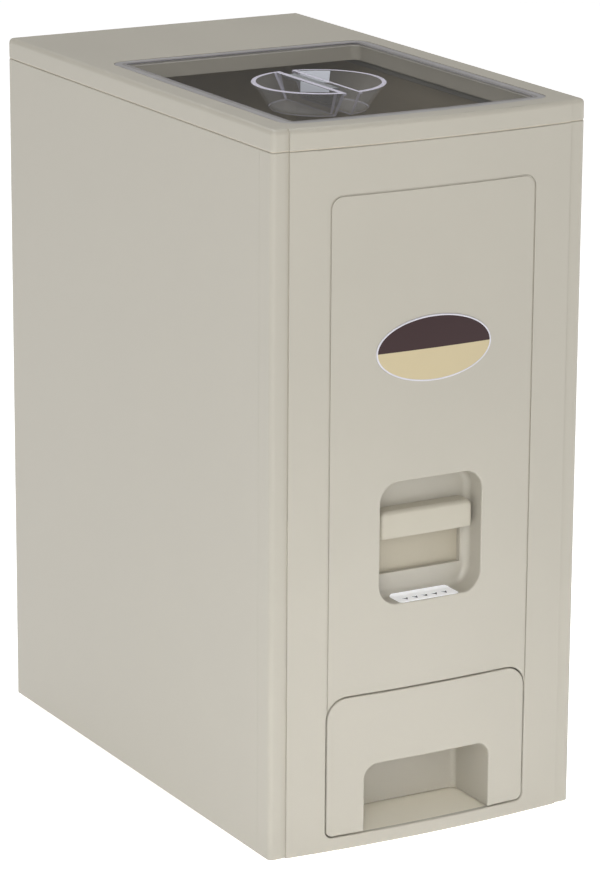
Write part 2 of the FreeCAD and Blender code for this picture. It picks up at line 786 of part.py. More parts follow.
# ---- Lid --------------------------------------------------------------------------------------
def window_shape(inset, z0, z1):
    # window outline drawn in by an inset: straight sides and back, gently bowed front edge
    side = window_half - inset
    front_mid = window_front + inset
    front_end = front_mid + window_bow
    rear = window_rear - inset
    corner = max(window_corner - inset, 1.0)
    slab = rounded_box(-side, side, front_end, rear, z0, z1, corner)
    reach = side - corner
    arc = Part.Arc(V(-reach, front_end, z0), V(0, front_mid, z0), V(reach, front_end, z0))
    back = [V(reach, front_end, z0), V(reach, front_end + corner, z0), V(-reach, front_end + corner, z0),
            V(-reach, front_end, z0)]
    lines = [Part.LineSegment(a, b).toShape() for a, b in zip(back, back[1:])]
    bow = Part.Face(Part.Wire([arc.toShape()] + lines)).extrude(V(0, 0, z1 - z0))
    return slab.fuse(bow).removeSplitter()


def hopper_ring(width, z0, z1):
    # band that follows the hopper's rim, centred on its wall
    middle = hopper_wall / 2
    grow = width / 2 - middle
    outer = rounded_box(-hopper_half - grow, hopper_half + grow, hopper_front - grow, hopper_rear + grow,
                        z0, z1, hopper_corner + grow)
    shrink = width / 2 + middle
    inner = rounded_box(shrink - hopper_half, hopper_half - shrink,
                        hopper_front + shrink, hopper_rear - shrink,
                        z0 - 1, z1 + 1, hopper_corner - shrink)
    return outer.cut(inner)


def lid_frame():
    bottom = seam_z + seam_gap
    outer = bowed_block(0, bottom, lid_top, lid_round, seam_round)
    lid = outer.cut(bowed_block(wall, bottom - 1, lid_floor))
    seal_top = rim_z + seal_gap + seal_height
    ring = hopper_ring(seal_width - 1, seal_top, lid_floor + 1)
    collar = window_shape(window_ledge - well_wall, lid_top - well_depth, ledge_top)
    shelf = window_shape(-3, ledge_top - ledge_thickness, lid_floor + 1)
    pieces = [lid, ring, collar, shelf]
    pieces += [part for side in (-1, 1) for part in knuckle(side * hinge_spread, knuckle_length, 1)]
    lid = join(pieces)
    lid = lid.cut(window_shape(-fit, ledge_top, lid_top + 1))
    lid = lid.cut(window_shape(window_ledge, 0, lid_top))
    for side in (-1, 1):
        lid = lid.cut(hinge_hole(side * hinge_spread, knuckle_length, hinge_pin_play))
    return lid


def lid_window():
    pane = window_shape(0, window_bottom, window_top)
    return pane.makeFillet(0.5, at_height(pane, window_top))


def window_tape():
    return window_shape(0.5, ledge_top, window_bottom).cut(window_shape(0.5 + tape_width, 0, lid_top))


def lid_seal():
    top = rim_z + seal_gap + seal_height
    return hopper_ring(seal_width, top - seal_height, top)


def repellent_dish():
    # round clear dish hung under the window, parted into two D-shaped cups
    rim_z0 = window_bottom - dish_rim_height
    base_z = window_bottom - dish_depth
    centre = V(0, dish_centre_y, 0)

    def cone(top_radius, base_radius, top_z, foot_z):
        return Part.makeCone(base_radius, top_radius, top_z - foot_z, V(0, dish_centre_y, foot_z), V(0, 0, 1))

    flange = Part.makeCylinder(dish_rim_radius, dish_rim_height, centre + V(0, 0, rim_z0))
    dish = flange.fuse(cone(dish_top_radius, dish_base_radius, window_bottom, base_z)).removeSplitter()
    inside = cone(dish_top_radius - dish_wall, dish_base_radius - dish_wall,
                  window_bottom + 0.01, base_z + dish_wall)
    divider = dish_split / 2 + dish_wall
    cups = inside.cut(box(-divider, divider, -overall_depth, overall_depth, 0, overall_height))
    dish = dish.cut(cups)
    slot = inside.common(box(-dish_split / 2, dish_split / 2, -overall_depth, overall_depth,
                             0, overall_height))
    return dish.cut(slot)


# ---- Hopper -----------------------------------------------------------------------------------
def hopper():
    throat_top = drum_axis_z + drum_radius + throat_play

    def body(inset):
        # bin, funnel and straight throat round the drum's crown, with their upright edges rounded
        wide = (inset - hopper_half, hopper_half - inset, hopper_front + inset, hopper_rear - inset)
        grow = hopper_wall - inset
        narrow = (-cavity_half - grow, cavity_half + grow,
                  drum_axis_y - outlet_half_y - grow, drum_axis_y + outlet_half_y + grow)
        corner = hopper_corner - inset
        bin_part = join([tapered_block(narrow, wide, throat_top, hopper_slope_top),
                         box(*wide, hopper_slope_top, rim_z)])
        bin_part = bin_part.makeFillet(corner, [edge for edge in bin_part.Edges if edge.BoundBox.ZLength > 1])
        return bin_part.fuse(rounded_box(*narrow, outlet_z, throat_top, corner))

    reach = outlet_flange_width + housing_wall
    foot = rounded_box(-cavity_half - reach, cavity_half + reach, drum_axis_y - outlet_half_y - reach,
                       drum_axis_y + outlet_half_y + reach, outlet_z, outlet_z + outlet_flange, 4)
    rim = bowed_block(wall + fit, flange_bottom, flange_top)
    return join([body(0), foot, rim]).cut(body(hopper_wall))


# ---- Metering unit ----------------------------------------------------------------------------
def drum_cylinder(radius, reach):
    return rod(radius, (-reach, drum_axis_y, drum_axis_z), (reach, drum_axis_y, drum_axis_z))


def around_drum(radius, degrees):
    angle = math.radians(degrees)
    return drum_axis_y + radius * math.cos(angle), drum_axis_z + radius * math.sin(angle)


def sector(from_deg, to_deg, reach):
    # wedge of space round the drum axis, big enough to pass every wall
    far = 3 * drum_radius
    middle = (from_deg + to_deg) / 2
    points = [(drum_axis_y, drum_axis_z)] + [around_drum(far, a) for a in (from_deg, middle, to_deg)]
    return prism([(y, z, 0) for y, z in points], on_side(-reach), V(2 * reach, 0, 0))


def metering_drum():
    inner = drum_half - drum_wall
    skin = drum_cylinder(drum_radius, drum_half).cut(drum_cylinder(drum_radius - drum_wall, inner))
    pocket = sector(90 - pocket_half_angle, 90 + pocket_half_angle, inner)
    skin = skin.cut(pocket)
    pieces = [skin, drum_cylinder(hub_radius, drum_half)]
    for side in (-1, 1):
        angle = 90 + side * pocket_half_angle
        normal = math.radians(angle + side * 90)
        along = around_drum(drum_radius - drum_wall / 2, angle)
        shift = V(0, math.cos(normal), math.sin(normal)) * drum_wall
        corners = [V(0, drum_axis_y, drum_axis_z), V(0, *along)]
        corners += [corners[1] + shift, corners[0] + shift]
        pieces.append(prism([(point.y, point.z, 0) for point in corners],
                            on_side(-inner), V(2 * inner, 0, 0)))
    drum = join(pieces)
    for angle in (-30, -90, -150):
        y, z = around_drum(drum_window_at, angle)
        drum = drum.cut(rod(drum_window_radius, (-drum_half - 1, y, z), (drum_half + 1, y, z)))
    return drum.cut(drum_cylinder(shaft_radius + press_play, drum_half + 1))


def metering_housing():
    front = housing_front
    rear = drum_axis_y + housing_radius
    ring = drum_cylinder(housing_radius, housing_half)
    ends = box(-housing_half, housing_half, front, rear, housing_floor, drum_axis_z)
    collar_y = outlet_half_y + housing_wall
    collar = box(-housing_half, housing_half, drum_axis_y - collar_y, drum_axis_y + collar_y,
                 drum_axis_z + outlet_half_y - housing_wall, outlet_z)
    reach = outlet_flange_width + housing_wall
    flange = rounded_box(-cavity_half - reach, cavity_half + reach, drum_axis_y - outlet_half_y - reach,
                         drum_axis_y + outlet_half_y + reach, outlet_z - outlet_flange, outlet_z, 4)
    feet = [box(min(side * cavity_half, side * (housing_half + housing_foot)),
                max(side * cavity_half, side * (housing_half + housing_foot)),
                front, rear, housing_floor, housing_floor + housing_foot_thickness) for side in (-1, 1)]
    boss = rod(idler_boss_radius, (cavity_half, idler_y, drum_axis_z), (gear_x - 0.4, idler_y, drum_axis_z))
    crown = box(-half, half, front_y, rear_y, outlet_z, overall_height)
    solid = join([ring, ends, collar, flange, boss] + feet).cut(crown)
    # drum space, hopper outlet and the discharge under the drum's rear
    solid = solid.cut(drum_cylinder(drum_cavity, cavity_half))
    solid = solid.cut(box(-cavity_half, cavity_half, drum_axis_y - outlet_half_y, drum_axis_y + outlet_half_y,
                          drum_axis_z, outlet_z + 1))
    discharge = sector(discharge_from, discharge_to, cavity_half)
    well = box(-cavity_half, cavity_half, around_drum(drum_cavity, discharge_from)[0], rear - housing_wall,
               housing_floor - 1, drum_axis_z)
    solid = solid.cut(discharge.common(well))
    front_block = box(-cavity_half, cavity_half, front - 1,
                      around_drum(housing_radius, discharge_from)[0] - housing_wall,
                      housing_floor - 1, drum_axis_z)
    solid = solid.cut(front_block.cut(drum_cylinder(housing_radius, cavity_half + 1)))
    # bush seats, idler pin and screws
    solid = solid.cut(drum_cylinder(bush_radius + press_play, housing_half + 1))
    solid = solid.cut(rod(idler_pin_radius + press_play, (cavity_half - 1, idler_y, drum_axis_z),
                          (gear_x, idler_y, drum_axis_z)))
    for seat in housing_screw_seats():
        solid = solid.cut(screw_hole(seat, (0, 0, -1), housing_screw_length))
    return solid


def rice_chute():
    # plate between the housing and the bay, with a funnel down to the drawer
    front = housing_front
    rear = drum_axis_y + housing_radius
    reach = housing_half + housing_foot
    plate = box(-reach, reach, front, rear, bay_deck_top, housing_floor)
    top_front = around_drum(drum_cavity, discharge_from)[0]
    top_rear = rear - housing_wall

    def funnel(grow):
        top = (-cavity_half - grow, cavity_half + grow, top_front - grow, top_rear + grow)
        foot = (-chute_half - grow, chute_half + grow, top_front + chute_front_taper - grow,
                top_rear - chute_rear_taper + grow)
        return tapered_block(foot, top, chute_bottom, housing_floor)

    chute = join([plate, funnel(chute_wall)]).cut(funnel(0))
    for seat in housing_screw_seats():
        chute = chute.cut(screw_hole(seat, (0, 0, -1), housing_screw_length))
    return chute


def drum_shaft():
    left = -housing_half - bush_flange_thickness - clip_play - clip_thickness - 1.5
    right = gear_x + gear_width + clip_thickness + 1.5
    shaft = rod(shaft_radius, (left, drum_axis_y, drum_axis_z), (right, drum_axis_y, drum_axis_z))
    ends = [edge for edge in shaft.Edges if edge.Length < 2 * math.pi * shaft_radius + 0.01 and edge.Closed]
    return shaft.makeChamfer(0.5, ends)


def shaft_clips():
    starts = (-housing_half - bush_flange_thickness - clip_play - clip_thickness,
              gear_x + gear_width + press_play)
    clips = []
    for x in starts:
        ring = rod(clip_radius, (x, drum_axis_y, drum_axis_z), (x + clip_thickness, drum_axis_y, drum_axis_z))
        ring = ring.cut(rod(shaft_radius + press_play, (x - 1, drum_axis_y, drum_axis_z),
                            (x + clip_thickness + 1, drum_axis_y, drum_axis_z)))
        mouth = box(x - 1, x + clip_thickness + 1, drum_axis_y - 2, drum_axis_y + 2,
                    drum_axis_z, drum_axis_z + 9)
        clips.append(ring.cut(mouth))
    return Part.makeCompound(clips)


def shaft_bushes():
    bushes = []
    for side in (-1, 1):
        def at(x):
            return side * x, drum_axis_y, drum_axis_z
        sleeve = rod(bush_radius, at(cavity_half), at(housing_half + bush_flange_thickness))
        flange = rod(bush_radius + bush_flange, at(housing_half), at(housing_half + bush_flange_thickness))
        bore = rod(shaft_radius + shaft_play, at(cavity_half - 1),
                   at(housing_half + bush_flange_thickness + 1))
        bushes.append(sleeve.fuse(flange).removeSplitter().cut(bore))
    return Part.makeCompound(bushes)


def involute(angle):
    return math.tan(angle) - angle


def gear(teeth, centre_y, first_tooth, bore):
    # spur gear across X; the first tooth's middle points at the given angle from the rear
    pitch = gear_module * teeth / 2
    pressure = math.radians(pressure_angle)
    base = pitch * math.cos(pressure)
    tip = pitch + gear_module
    root = pitch - 1.25 * gear_module
    at_pitch = math.pi / (2 * teeth) - tooth_play / (4 * pitch)

    def half_tooth(radius):
        lean = math.acos(min(1.0, base / radius))
        return at_pitch + involute(pressure) - involute(lean)

    def spot(radius, angle):
        return V(gear_x, centre_y + radius * math.cos(angle), drum_axis_z + radius * math.sin(angle))

    edges = []
    step = 2 * math.pi / teeth
    for index in range(teeth):
        middle = math.radians(first_tooth) + index * step
        rising = [spot(radius, middle - half_tooth(radius)) for radius in (base, pitch, tip)]
        falling = [spot(radius, middle + half_tooth(radius)) for radius in (tip, pitch, base)]
        foot_in = spot(root, middle - half_tooth(base))
        foot_out = spot(root, middle + half_tooth(base))
        next_foot = spot(root, middle + step - half_tooth(base))
        edges.append(Part.LineSegment(foot_in, rising[0]).toShape())
        edges.append(Part.Arc(*rising).toShape())
        edges.append(Part.LineSegment(rising[2], falling[0]).toShape())
        edges.append(Part.Arc(*falling).toShape())
        edges.append(Part.LineSegment(falling[2], foot_out).toShape())
        edges.append(Part.LineSegment(foot_out, next_foot).toShape())
    blank = Part.Face(Part.Wire(edges)).extrude(V(gear_width, 0, 0))
    axis_start = (gear_x - 1, centre_y, drum_axis_z)
    axis_end = (gear_x + gear_width + 1, centre_y, drum_axis_z)
    return blank.cut(rod(bore, axis_start, axis_end))


def drum_gear():
    return gear(drum_teeth, drum_axis_y, 180.0 + 180.0 / drum_teeth, shaft_radius + press_play)


def idler_gear():
    return gear(idler_teeth, idler_y, 0.0, idler_pin_radius + shaft_play)


def idler_pin():
    head_x = gear_x + gear_width + clip_play
    pin = rod(idler_pin_radius, (cavity_half + 0.2, idler_y, drum_axis_z), (head_x, idler_y, drum_axis_z))
    head = rod(idler_head_radius, (head_x, idler_y, drum_axis_z), (head_x + idler_head, idler_y, drum_axis_z))
    return pin.fuse(head)


# ---- Press lever ------------------------------------------------------------------------------
def rack():
    # bar with teeth facing the idler; a gap meets the idler's tooth at the height of the axis
    pressure = math.tan(math.radians(pressure_angle))
    pitch = math.pi * gear_module
    half_pitch_width = pitch / 4 - tooth_play / 4
    tip_y = rack_pitch_y + gear_module
    tip_half = half_pitch_width - gear_module * pressure
    root_half = half_pitch_width + 1.25 * gear_module * pressure
    outline = [(rack_root_y - rack_back, rack_bottom), (rack_root_y, rack_bottom)]
    count = int((drum_axis_z + lever_travel + 3 * pitch - rack_bottom) / pitch)
    first = drum_axis_z + pitch / 2 - pitch * int((drum_axis_z - rack_bottom - 1) / pitch)
    for index in range(count):
        z = first + index * pitch
        outline += [(rack_root_y, z - root_half), (tip_y, z - tip_half),
                    (tip_y, z + tip_half), (rack_root_y, z + root_half)]
    outline += [(rack_root_y, arm_bottom + arm_height), (rack_root_y - rack_back, arm_bottom + arm_height)]
    return prism([(y, z, 0) for y, z in outline], on_side(gear_x), V(gear_width, 0, 0))


def lever_slide():
    plate = box(-slide_half, slide_half, slide_front, slide_rear, slide_bottom, slide_top)
    wings = box(-wing_half, wing_half, slide_front, slide_rear, wing_bottom, slide_top)
    roots = box(-arm_root_half, arm_root_half, slide_rear - 0.5, arm_front + 0.5,
                arm_bottom, arm_bottom + arm_height)
    arm = box(spring_x, gear_x + gear_width, arm_front, arm_rear, arm_bottom, arm_bottom + arm_height)
    eye = rod(eye_radius, (spring_x, spring_y, arm_bottom), (spring_x, spring_y, arm_bottom + arm_height))
    eye = eye.cut(rod(post_radius + post_play, (spring_x, spring_y, arm_bottom - 1),
                      (spring_x, spring_y, arm_bottom + arm_height + 1)))
    arm = arm.cut(rod(eye_radius - 0.5, (spring_x, spring_y, arm_bottom - 1),
                      (spring_x, spring_y, slide_top)))
    rack_head = box(gear_x, gear_x + gear_width,
                    min(arm_front, rack_root_y - rack_back), max(arm_rear, rack_root_y),
                    arm_bottom, arm_bottom + arm_height)
    slide = join([plate, wings, roots, arm, eye, rack(), rack_head])
    for seat in knob_screw_seats():
        slide = slide.cut(screw_hole(seat, (0, -1, 0), knob_screw_length))
    return slide


def knob_screw_seats():
    z = knob_bottom + knob_height / 2
    return [(side * knob_screw_at, slide_rear, z) for side in (-1, 1)]


def lever_knob():
    front = front_y + knob_front_gap
    rear = recess_back - knob_gap
    top = knob_bottom + knob_height
    bar = front_opening(knob_half, knob_bottom, top, 0, knob_corner, front, rear)
    softened = edges_where(bar, lambda point: abs(point.y - front) < 1e-4
                           and point.z > knob_bottom - 1e-4
                           and not (abs(point.z - knob_bottom) < 1e-4
                                    and abs(point.x) < knob_half - 1e-4))
    bar = bar.makeFillet(knob_round, softened)
    middle = knob_bottom + knob_height / 2
    neck = box(-knob_neck_half, knob_neck_half, rear - 1, slide_front,
               middle - knob_neck_height / 2, middle + knob_neck_height / 2)
    knob = bar.fuse(neck).removeSplitter()
    for seat in knob_screw_seats():
        knob = knob.cut(screw_hole(seat, (0, -1, 0), knob_screw_length))
    return knob


def slide_guide(side):
    inner = wing_half + guide_play
    outer = inner + guide_wall
    lip_y = slide_rear + guide_play

    def across(x0, x1, y0, y1):
        return box(min(side * x0, side * x1), max(side * x0, side * x1), y0, y1, guide_bottom, guide_top)

    spacer = across(inner, outer, backplate_y, lip_y)
    lip = across(inner - guide_lip, outer, lip_y, lip_y + guide_lip_thickness)
    ear = across(outer - 0.5, outer + guide_ear, backplate_y, backplate_y + guide_lip_thickness)
    guide = join([spacer, lip, ear])
    for seat in guide_screw_seats():
        guide = guide.cut(screw_hole(seat, (0, -1, 0), guide_screw_length))
    return guide


def spring_post():
    foot = rod(post_foot_radius, (spring_x, spring_y, bay_deck_top),
               (spring_x, spring_y, bay_deck_top + post_foot_height))
    top = arm_bottom + arm_height + post_clearance
    post = rod(post_radius, (spring_x, spring_y, bay_deck_top), (spring_x, spring_y, top))
    post = post.makeChamfer(0.6, at_height(post, top))
    return foot.fuse(post).removeSplitter()


def spring_floor():
    return bay_deck_top + post_foot_height + spring_seat_gap


def return_spring():
    bottom = spring_floor() + spring_wire / 2
    top = arm_bottom - spring_seat_gap - spring_wire / 2
    pitch = (top - bottom) / spring_turns
    path = Part.makeHelix(pitch, top - bottom, spring_radius)
    path.translate(V(spring_x, spring_y, bottom))
    start = V(spring_x + spring_radius, spring_y, bottom)
    along = V(0, 1, pitch / (2 * math.pi * spring_radius))
    section = Part.Wire([Part.Circle(start, along, spring_wire / 2).toShape()])
    return Part.Wire(path).makePipeShell([section], True, False)


# ---- Drawer bay and drawer --------------------------------------------------------------------
def drawer_bay():
    deck_bottom_z = bay_deck_top - bay_deck_thickness
    deck = box(-inner_half + fit, inner_half - fit, bay_front, bay_rear, deck_bottom_z, bay_deck_top)
    pieces = [deck]
    for side in (-1, 1):
        x0, x1 = sorted((side * bay_half, side * (bay_half + bay_wall)))
        pieces.append(box(x0, x1, bay_front, bay_rear, deck_top, deck_bottom_z))
        foot0, foot1 = sorted((side * bay_half, side * (bay_half + bay_wall + bay_foot)))
        pieces.append(box(foot0, foot1, bay_rear - bay_foot_length, bay_rear,
                          deck_top, deck_top + bay_foot_thickness))
    pieces.append(box(-bay_half, bay_half, bay_front, bay_front + bay_lintel_thickness,
                      lintel_bottom, deck_bottom_z))
    bay = join(pieces)
    front = around_drum(drum_cavity, discharge_from)[0] - chute_wall - fit
    rear = drum_axis_y + housing_radius
    bay = bay.cut(box(-cavity_half - chute_wall - fit, cavity_half + chute_wall + fit, front, rear,
                      deck_bottom_z - 1, bay_deck_top + 1))
    for seat in housing_screw_seats():
        bay = bay.cut(screw_hole(seat, (0, 0, -1), housing_screw_length + 1))
    return bay


def drawer_runners():
    strips = []
    for side in (-1, 1):
        x = side * runner_at
        strips.append(box(x - runner_width / 2, x + runner_width / 2, tray_front, bay_rear - runner_rear_gap,
                          deck_top, deck_top + runner_height))
    return Part.makeCompound(strips)


def drawer_front():
    face = front_opening(drawer_half, drawer_front_bottom, drawer_front_top, drawer_foot_corner,
                         drawer_front_corner, front_y - 2, strip_y + 12)
    face = face.common(bowed_block(0, 0, overall_height))
    plate = face.cut(bowed_block(drawer_front_thickness, -1, overall_height))
    pocket = front_opening(pull_half + pull_wall, drawer_front_bottom, pull_top + pull_wall, 0,
                           pull_corner + pull_wall, front_y + 1, pull_back + pull_wall)
    pocket = pocket.common(bowed_block(1.0, 0, overall_height))
    pads = [box(x - drawer_pad_half, x + drawer_pad_half, front_y + wall, y - tray_wall,
                z - drawer_pad_half, z + drawer_pad_half).common(bowed_block(1.0, 0, overall_height))
            for x, y, z in drawer_screw_seats()]
    front = join([plate, pocket] + pads)
    finger = front_opening(pull_half, drawer_front_bottom - 2, pull_top, 0, pull_corner,
                           front_y - 2, pull_back)
    inner_edges = [edge for edge in finger.Edges if edge.BoundBox.YMin > pull_back - 1e-4
                   and edge.CenterOfMass.z > drawer_front_bottom]
    finger = finger.makeFillet(pull_inner_round, inner_edges)
    front = front.cut(finger)
    front = front.makeFillet(lip_round, bow_edges(front, drawer_half, drawer_front_bottom + 0.1,
                                                  drawer_front_top))
    for seat in drawer_screw_seats():
        front = front.cut(screw_hole(seat, (0, -1, 0), drawer_screw_length))
    return front


def drawer_screw_seats():
    return [(side * (tray_half - drawer_screw_inset), tray_front + tray_wall, drawer_screw_z)
            for side in (-1, 1)]


def drawer_tray():
    outer = rounded_box(-tray_half, tray_half, tray_front, tray_rear, tray_bottom, tray_top, tray_corner)
    hollow = rounded_box(tray_wall - tray_half, tray_half - tray_wall,
                         tray_front + tray_wall, tray_rear - tray_wall,
                         tray_bottom + tray_wall, tray_top + 1, tray_corner - tray_wall)
    shell_half = pull_half + pull_wall + tray_gap
    shell_top = pull_top + pull_wall + tray_gap
    shell_back = pull_back + pull_wall + tray_gap
    step = box(-shell_half - tray_wall, shell_half + tray_wall, tray_front - 1, shell_back + tray_wall,
               tray_bottom - 1, shell_top + tray_wall)
    tray = outer.cut(hollow.cut(step))
    tray = tray.cut(box(-shell_half, shell_half, tray_front - 1, shell_back, tray_bottom - 1, shell_top))
    stops = []
    for side in (-1, 1):
        x0, x1 = sorted((side * (tray_half - stop_width), side * tray_half))
        stops.append(box(x0, x1, tray_rear - stop_thickness, tray_rear,
                         tray_top - stop_root, tray_top + stop_height)
                     .common(rounded_box(-tray_half, tray_half, tray_front, tray_rear,
                                         tray_bottom, tray_top + stop_height, tray_corner)))
    tray = join([tray] + stops)
    for seat in drawer_screw_seats():
        tray = tray.cut(screw_hole(seat, (0, -1, 0), drawer_screw_length))
    return tray


# ---- Screws -----------------------------------------------------------------------------------
def screws(seats, toward, length):
    return Part.makeCompound([screw(seat, toward, length) for seat in seats])


def rear_screws():
    seats = [(x, y - rear_screw_sink, z) for x, y, z in rear_screw_seats()]
    return screws(seats, (0, -1, 0), rear_screw_length)


pieces = {
    "base_tray": base_tray,
    "rubber_feet": rubber_feet,
    "side_panel_left": lambda: side_panel(-1),
    "side_panel_right": lambda: side_panel(1),
    "rear_panel": rear_panel,
    "front_fascia": front_fascia,
    "badge_plate": badge_plate,
    "hinge_pins": hinge_pins,
    "lid_frame": lid_frame,
    "lid_window": lid_window,
    "window_tape": window_tape,
    "lid_seal": lid_seal,
    "repellent_dish": repellent_dish,
    "hopper": hopper,
    "metering_housing": metering_housing,
    "rice_chute": rice_chute,
    "metering_drum": metering_drum,
    "drum_shaft": drum_shaft,
    "shaft_bushes": shaft_bushes,
    "shaft_clips": shaft_clips,
    "drum_gear": drum_gear,
    "idler_gear": idler_gear,
    "idler_pin": idler_pin,
    "lever_slide": lever_slide,
    "lever_knob": lever_knob,
    "slide_guide_left": lambda: slide_guide(-1),
    "slide_guide_right": lambda: slide_guide(1),
    "spring_post": spring_post,
    "return_spring": return_spring,
    "drawer_bay": drawer_bay,
    "drawer_runners": drawer_runners,
    "drawer_front": drawer_front,
    "drawer_tray": drawer_tray,
    "base_screws": lambda: screws(base_screw_seats(), (0, 0, 1), base_screw_length),
    "rear_screws": rear_screws,
    "housing_screws": lambda: screws(housing_screw_seats(), (0, 0, -1), housing_screw_length),
    "guide_screws": lambda: screws(guide_screw_seats(), (0, -1, 0), guide_screw_length),
    "knob_screws": lambda: screws(knob_screw_seats(), (0, -1, 0), knob_screw_length),
    "drawer_screws": lambda: screws(drawer_screw_seats(), (0, -1, 0), drawer_screw_length),
}

for piece_name, build in pieces.items():
    save(piece_name, build())

print("lever travel %.1f  drum turn %.2f deg  idler turn %.2f deg  drawer travel %.1f" % (
    lever_travel, math.degrees(lever_travel / drum_pitch), math.degrees(lever_travel / idler_pitch),
    drawer_travel))
print("drum axis z %.2f  outlet z %.2f  hinge y %.2f z %.2f" % (drum_axis_z, outlet_z, hinge_y, hinge_z))
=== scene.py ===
import math

import bmesh
import bpy
from mathutils import Matrix, Vector


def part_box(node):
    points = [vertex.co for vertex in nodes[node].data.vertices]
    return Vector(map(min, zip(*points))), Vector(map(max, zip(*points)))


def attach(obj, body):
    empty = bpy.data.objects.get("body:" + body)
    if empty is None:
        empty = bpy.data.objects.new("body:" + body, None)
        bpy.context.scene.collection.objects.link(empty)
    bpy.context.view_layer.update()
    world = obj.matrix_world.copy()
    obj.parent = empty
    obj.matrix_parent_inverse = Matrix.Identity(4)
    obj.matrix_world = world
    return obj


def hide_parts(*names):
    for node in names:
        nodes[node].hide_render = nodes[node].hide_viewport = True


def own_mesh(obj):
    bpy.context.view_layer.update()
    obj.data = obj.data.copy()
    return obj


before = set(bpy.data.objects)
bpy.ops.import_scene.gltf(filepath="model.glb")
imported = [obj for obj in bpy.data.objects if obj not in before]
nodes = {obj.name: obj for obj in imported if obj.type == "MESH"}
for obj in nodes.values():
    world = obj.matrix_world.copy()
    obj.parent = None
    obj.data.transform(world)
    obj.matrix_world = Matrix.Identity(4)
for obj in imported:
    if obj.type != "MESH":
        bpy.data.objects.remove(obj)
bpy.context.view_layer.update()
print("frame loaded with", len(nodes), "nodes")


# camera, lights and floor
camera = {
    "lens": 161.8,  # millimetres, as is the sensor
    "sensor": 36,
    "clipEnd": 50,
    "place": (-1.0667, -1.8880, 0.7989),
    "yaw": 29.71,  # degrees from +Y towards +X
    "pitch": 15.65,  # degrees below the horizon
    "roll": 0.37,
}


def addCamera():
    yaw, pitch = math.radians(camera["yaw"]), math.radians(camera["pitch"])
    ahead = Vector((math.sin(yaw) * math.cos(pitch), math.cos(yaw) * math.cos(pitch), -math.sin(pitch)))
    data = bpy.data.cameras.new("studioCamera")
    data.lens = camera["lens"]
    data.sensor_width = camera["sensor"]
    data.clip_end = camera["clipEnd"]
    eye = bpy.data.objects.new("studioCamera", data)
    bpy.context.scene.collection.objects.link(eye)
    turn = ahead.to_track_quat("-Z", "Y").to_matrix().to_4x4()
    eye.matrix_world = turn @ Matrix.Rotation(math.radians(camera["roll"]), 4, "Z")
    eye.location = camera["place"]
    bpy.context.scene.camera = eye


everywhere = 180  # degrees
onCase = (0, 0, 0.2)
onPull = (0, -0.15, 0.03)
softLights = {
    # name: place, what it points at, size, spread in degrees, power
    "besideCamera": ((-1.15, -1.60, 0.78), onCase, 0.9, everywhere, 5.0),
    "frontLow": ((-0.20, -1.50, 0.14), onCase, 0.9, everywhere, 0.9),
    "leftEdge": ((-2.20, 0.10, 0.62), onCase, 0.35, everywhere, 3.0),
    "rightEdge": ((1.90, -1.30, 0.60), onCase, 0.35, everywhere, 3.0),
    "frontMiddle": ((-0.45, -1.00, 0.48), onCase, 0.4, everywhere, 1.0),
    "pullLight": ((-0.42, -0.95, 0.36), onPull, 0.25, 20, 0.06),
    "frontHigh": ((-1.5, -2.4, 2.1), onCase, 1.6, everywhere, 25.0),
    "topPanel": ((0.0, 0.2, 2.6), onCase, 1.8, everywhere, 27.5),
    "rightPanel": ((2.8, -0.4, 1.0), onCase, 1.8, everywhere, 15.0),
    "rearLeft": ((-2.0, 2.2, 1.3), onCase, 1.6, everywhere, 8.0),
    "rearHigh": ((0.6, 2.0, 2.6), onCase, 1.6, everywhere, 16.0),
}
room = {
    "background": 0.16,
    "paper": (0.86, 0.86, 0.86),
    "paperGlow": 0.62,
    "paperRoughness": 0.9,
    "paperGloss": 0.1,
    "floorReach": 12.0,
}


def addLights():
    for name, (place, aim, size, spread, power) in softLights.items():
        data = bpy.data.lights.new(name, "AREA")
        data.shape = "SQUARE"
        data.size = size
        data.energy = power
        data.spread = math.radians(spread)
        lamp = bpy.data.objects.new(name, data)
        lamp.location = place
        lamp.visible_camera = False
        lamp.rotation_mode = "QUATERNION"
        lamp.rotation_quaternion = (Vector(aim) - Vector(place)).to_track_quat("-Z", "Y")
        bpy.context.scene.collection.objects.link(lamp)
    world = bpy.data.worlds.new("paleRoom")
    world.use_nodes = True
    backdrop = world.node_tree.nodes["Background"]
    backdrop.inputs["Color"].default_value = (1.0, 1.0, 1.0, 1.0)
    backdrop.inputs["Strength"].default_value = room["background"]
    bpy.context.scene.world = world


def addFloor():
    mesh = bpy.data.meshes.new("studioFloor")
    reach = room["floorReach"]
    corners = [(-reach, -reach, 0), (reach, -reach, 0), (reach, reach, 0), (-reach, reach, 0)]
    mesh.from_pydata(corners, [], [(0, 1, 2, 3)])
    floor = bpy.data.objects.new("studioFloor", mesh)
    bpy.context.scene.collection.objects.link(floor)
    paper = bpy.data.materials.new("palePaper")
    paper.use_nodes = True
    shader = paper.node_tree.nodes["Principled BSDF"]
    shader.inputs["Base Color"].default_value = (*room["paper"], 1)
    shader.inputs["Roughness"].default_value = room["paperRoughness"]
    shader.inputs["Specular IOR Level"].default_value = room["paperGloss"]
    shader.inputs["Emission Color"].default_value = (1, 1, 1, 1)
    shader.inputs["Emission Strength"].default_value = room["paperGlow"]
    mesh.materials.append(paper)


addCamera()
addLights()
addFloor()
bpy.context.scene.view_settings.view_transform = "Standard"
print("camera, lights and floor made")


# helpers for every node tree
def addNode(tree, kind, inputs, **settings):
    # one node with its settings, and its inputs linked or set
    node = tree.nodes.new(kind)
    for attribute, value in settings.items():
        setattr(node, attribute, value)
    for title, value in inputs.items():
        socket = node.inputs[title]
        if isinstance(value, bpy.types.NodeSocket):
            tree.links.new(value, socket)
        else:
            socket.default_value = value
    return node


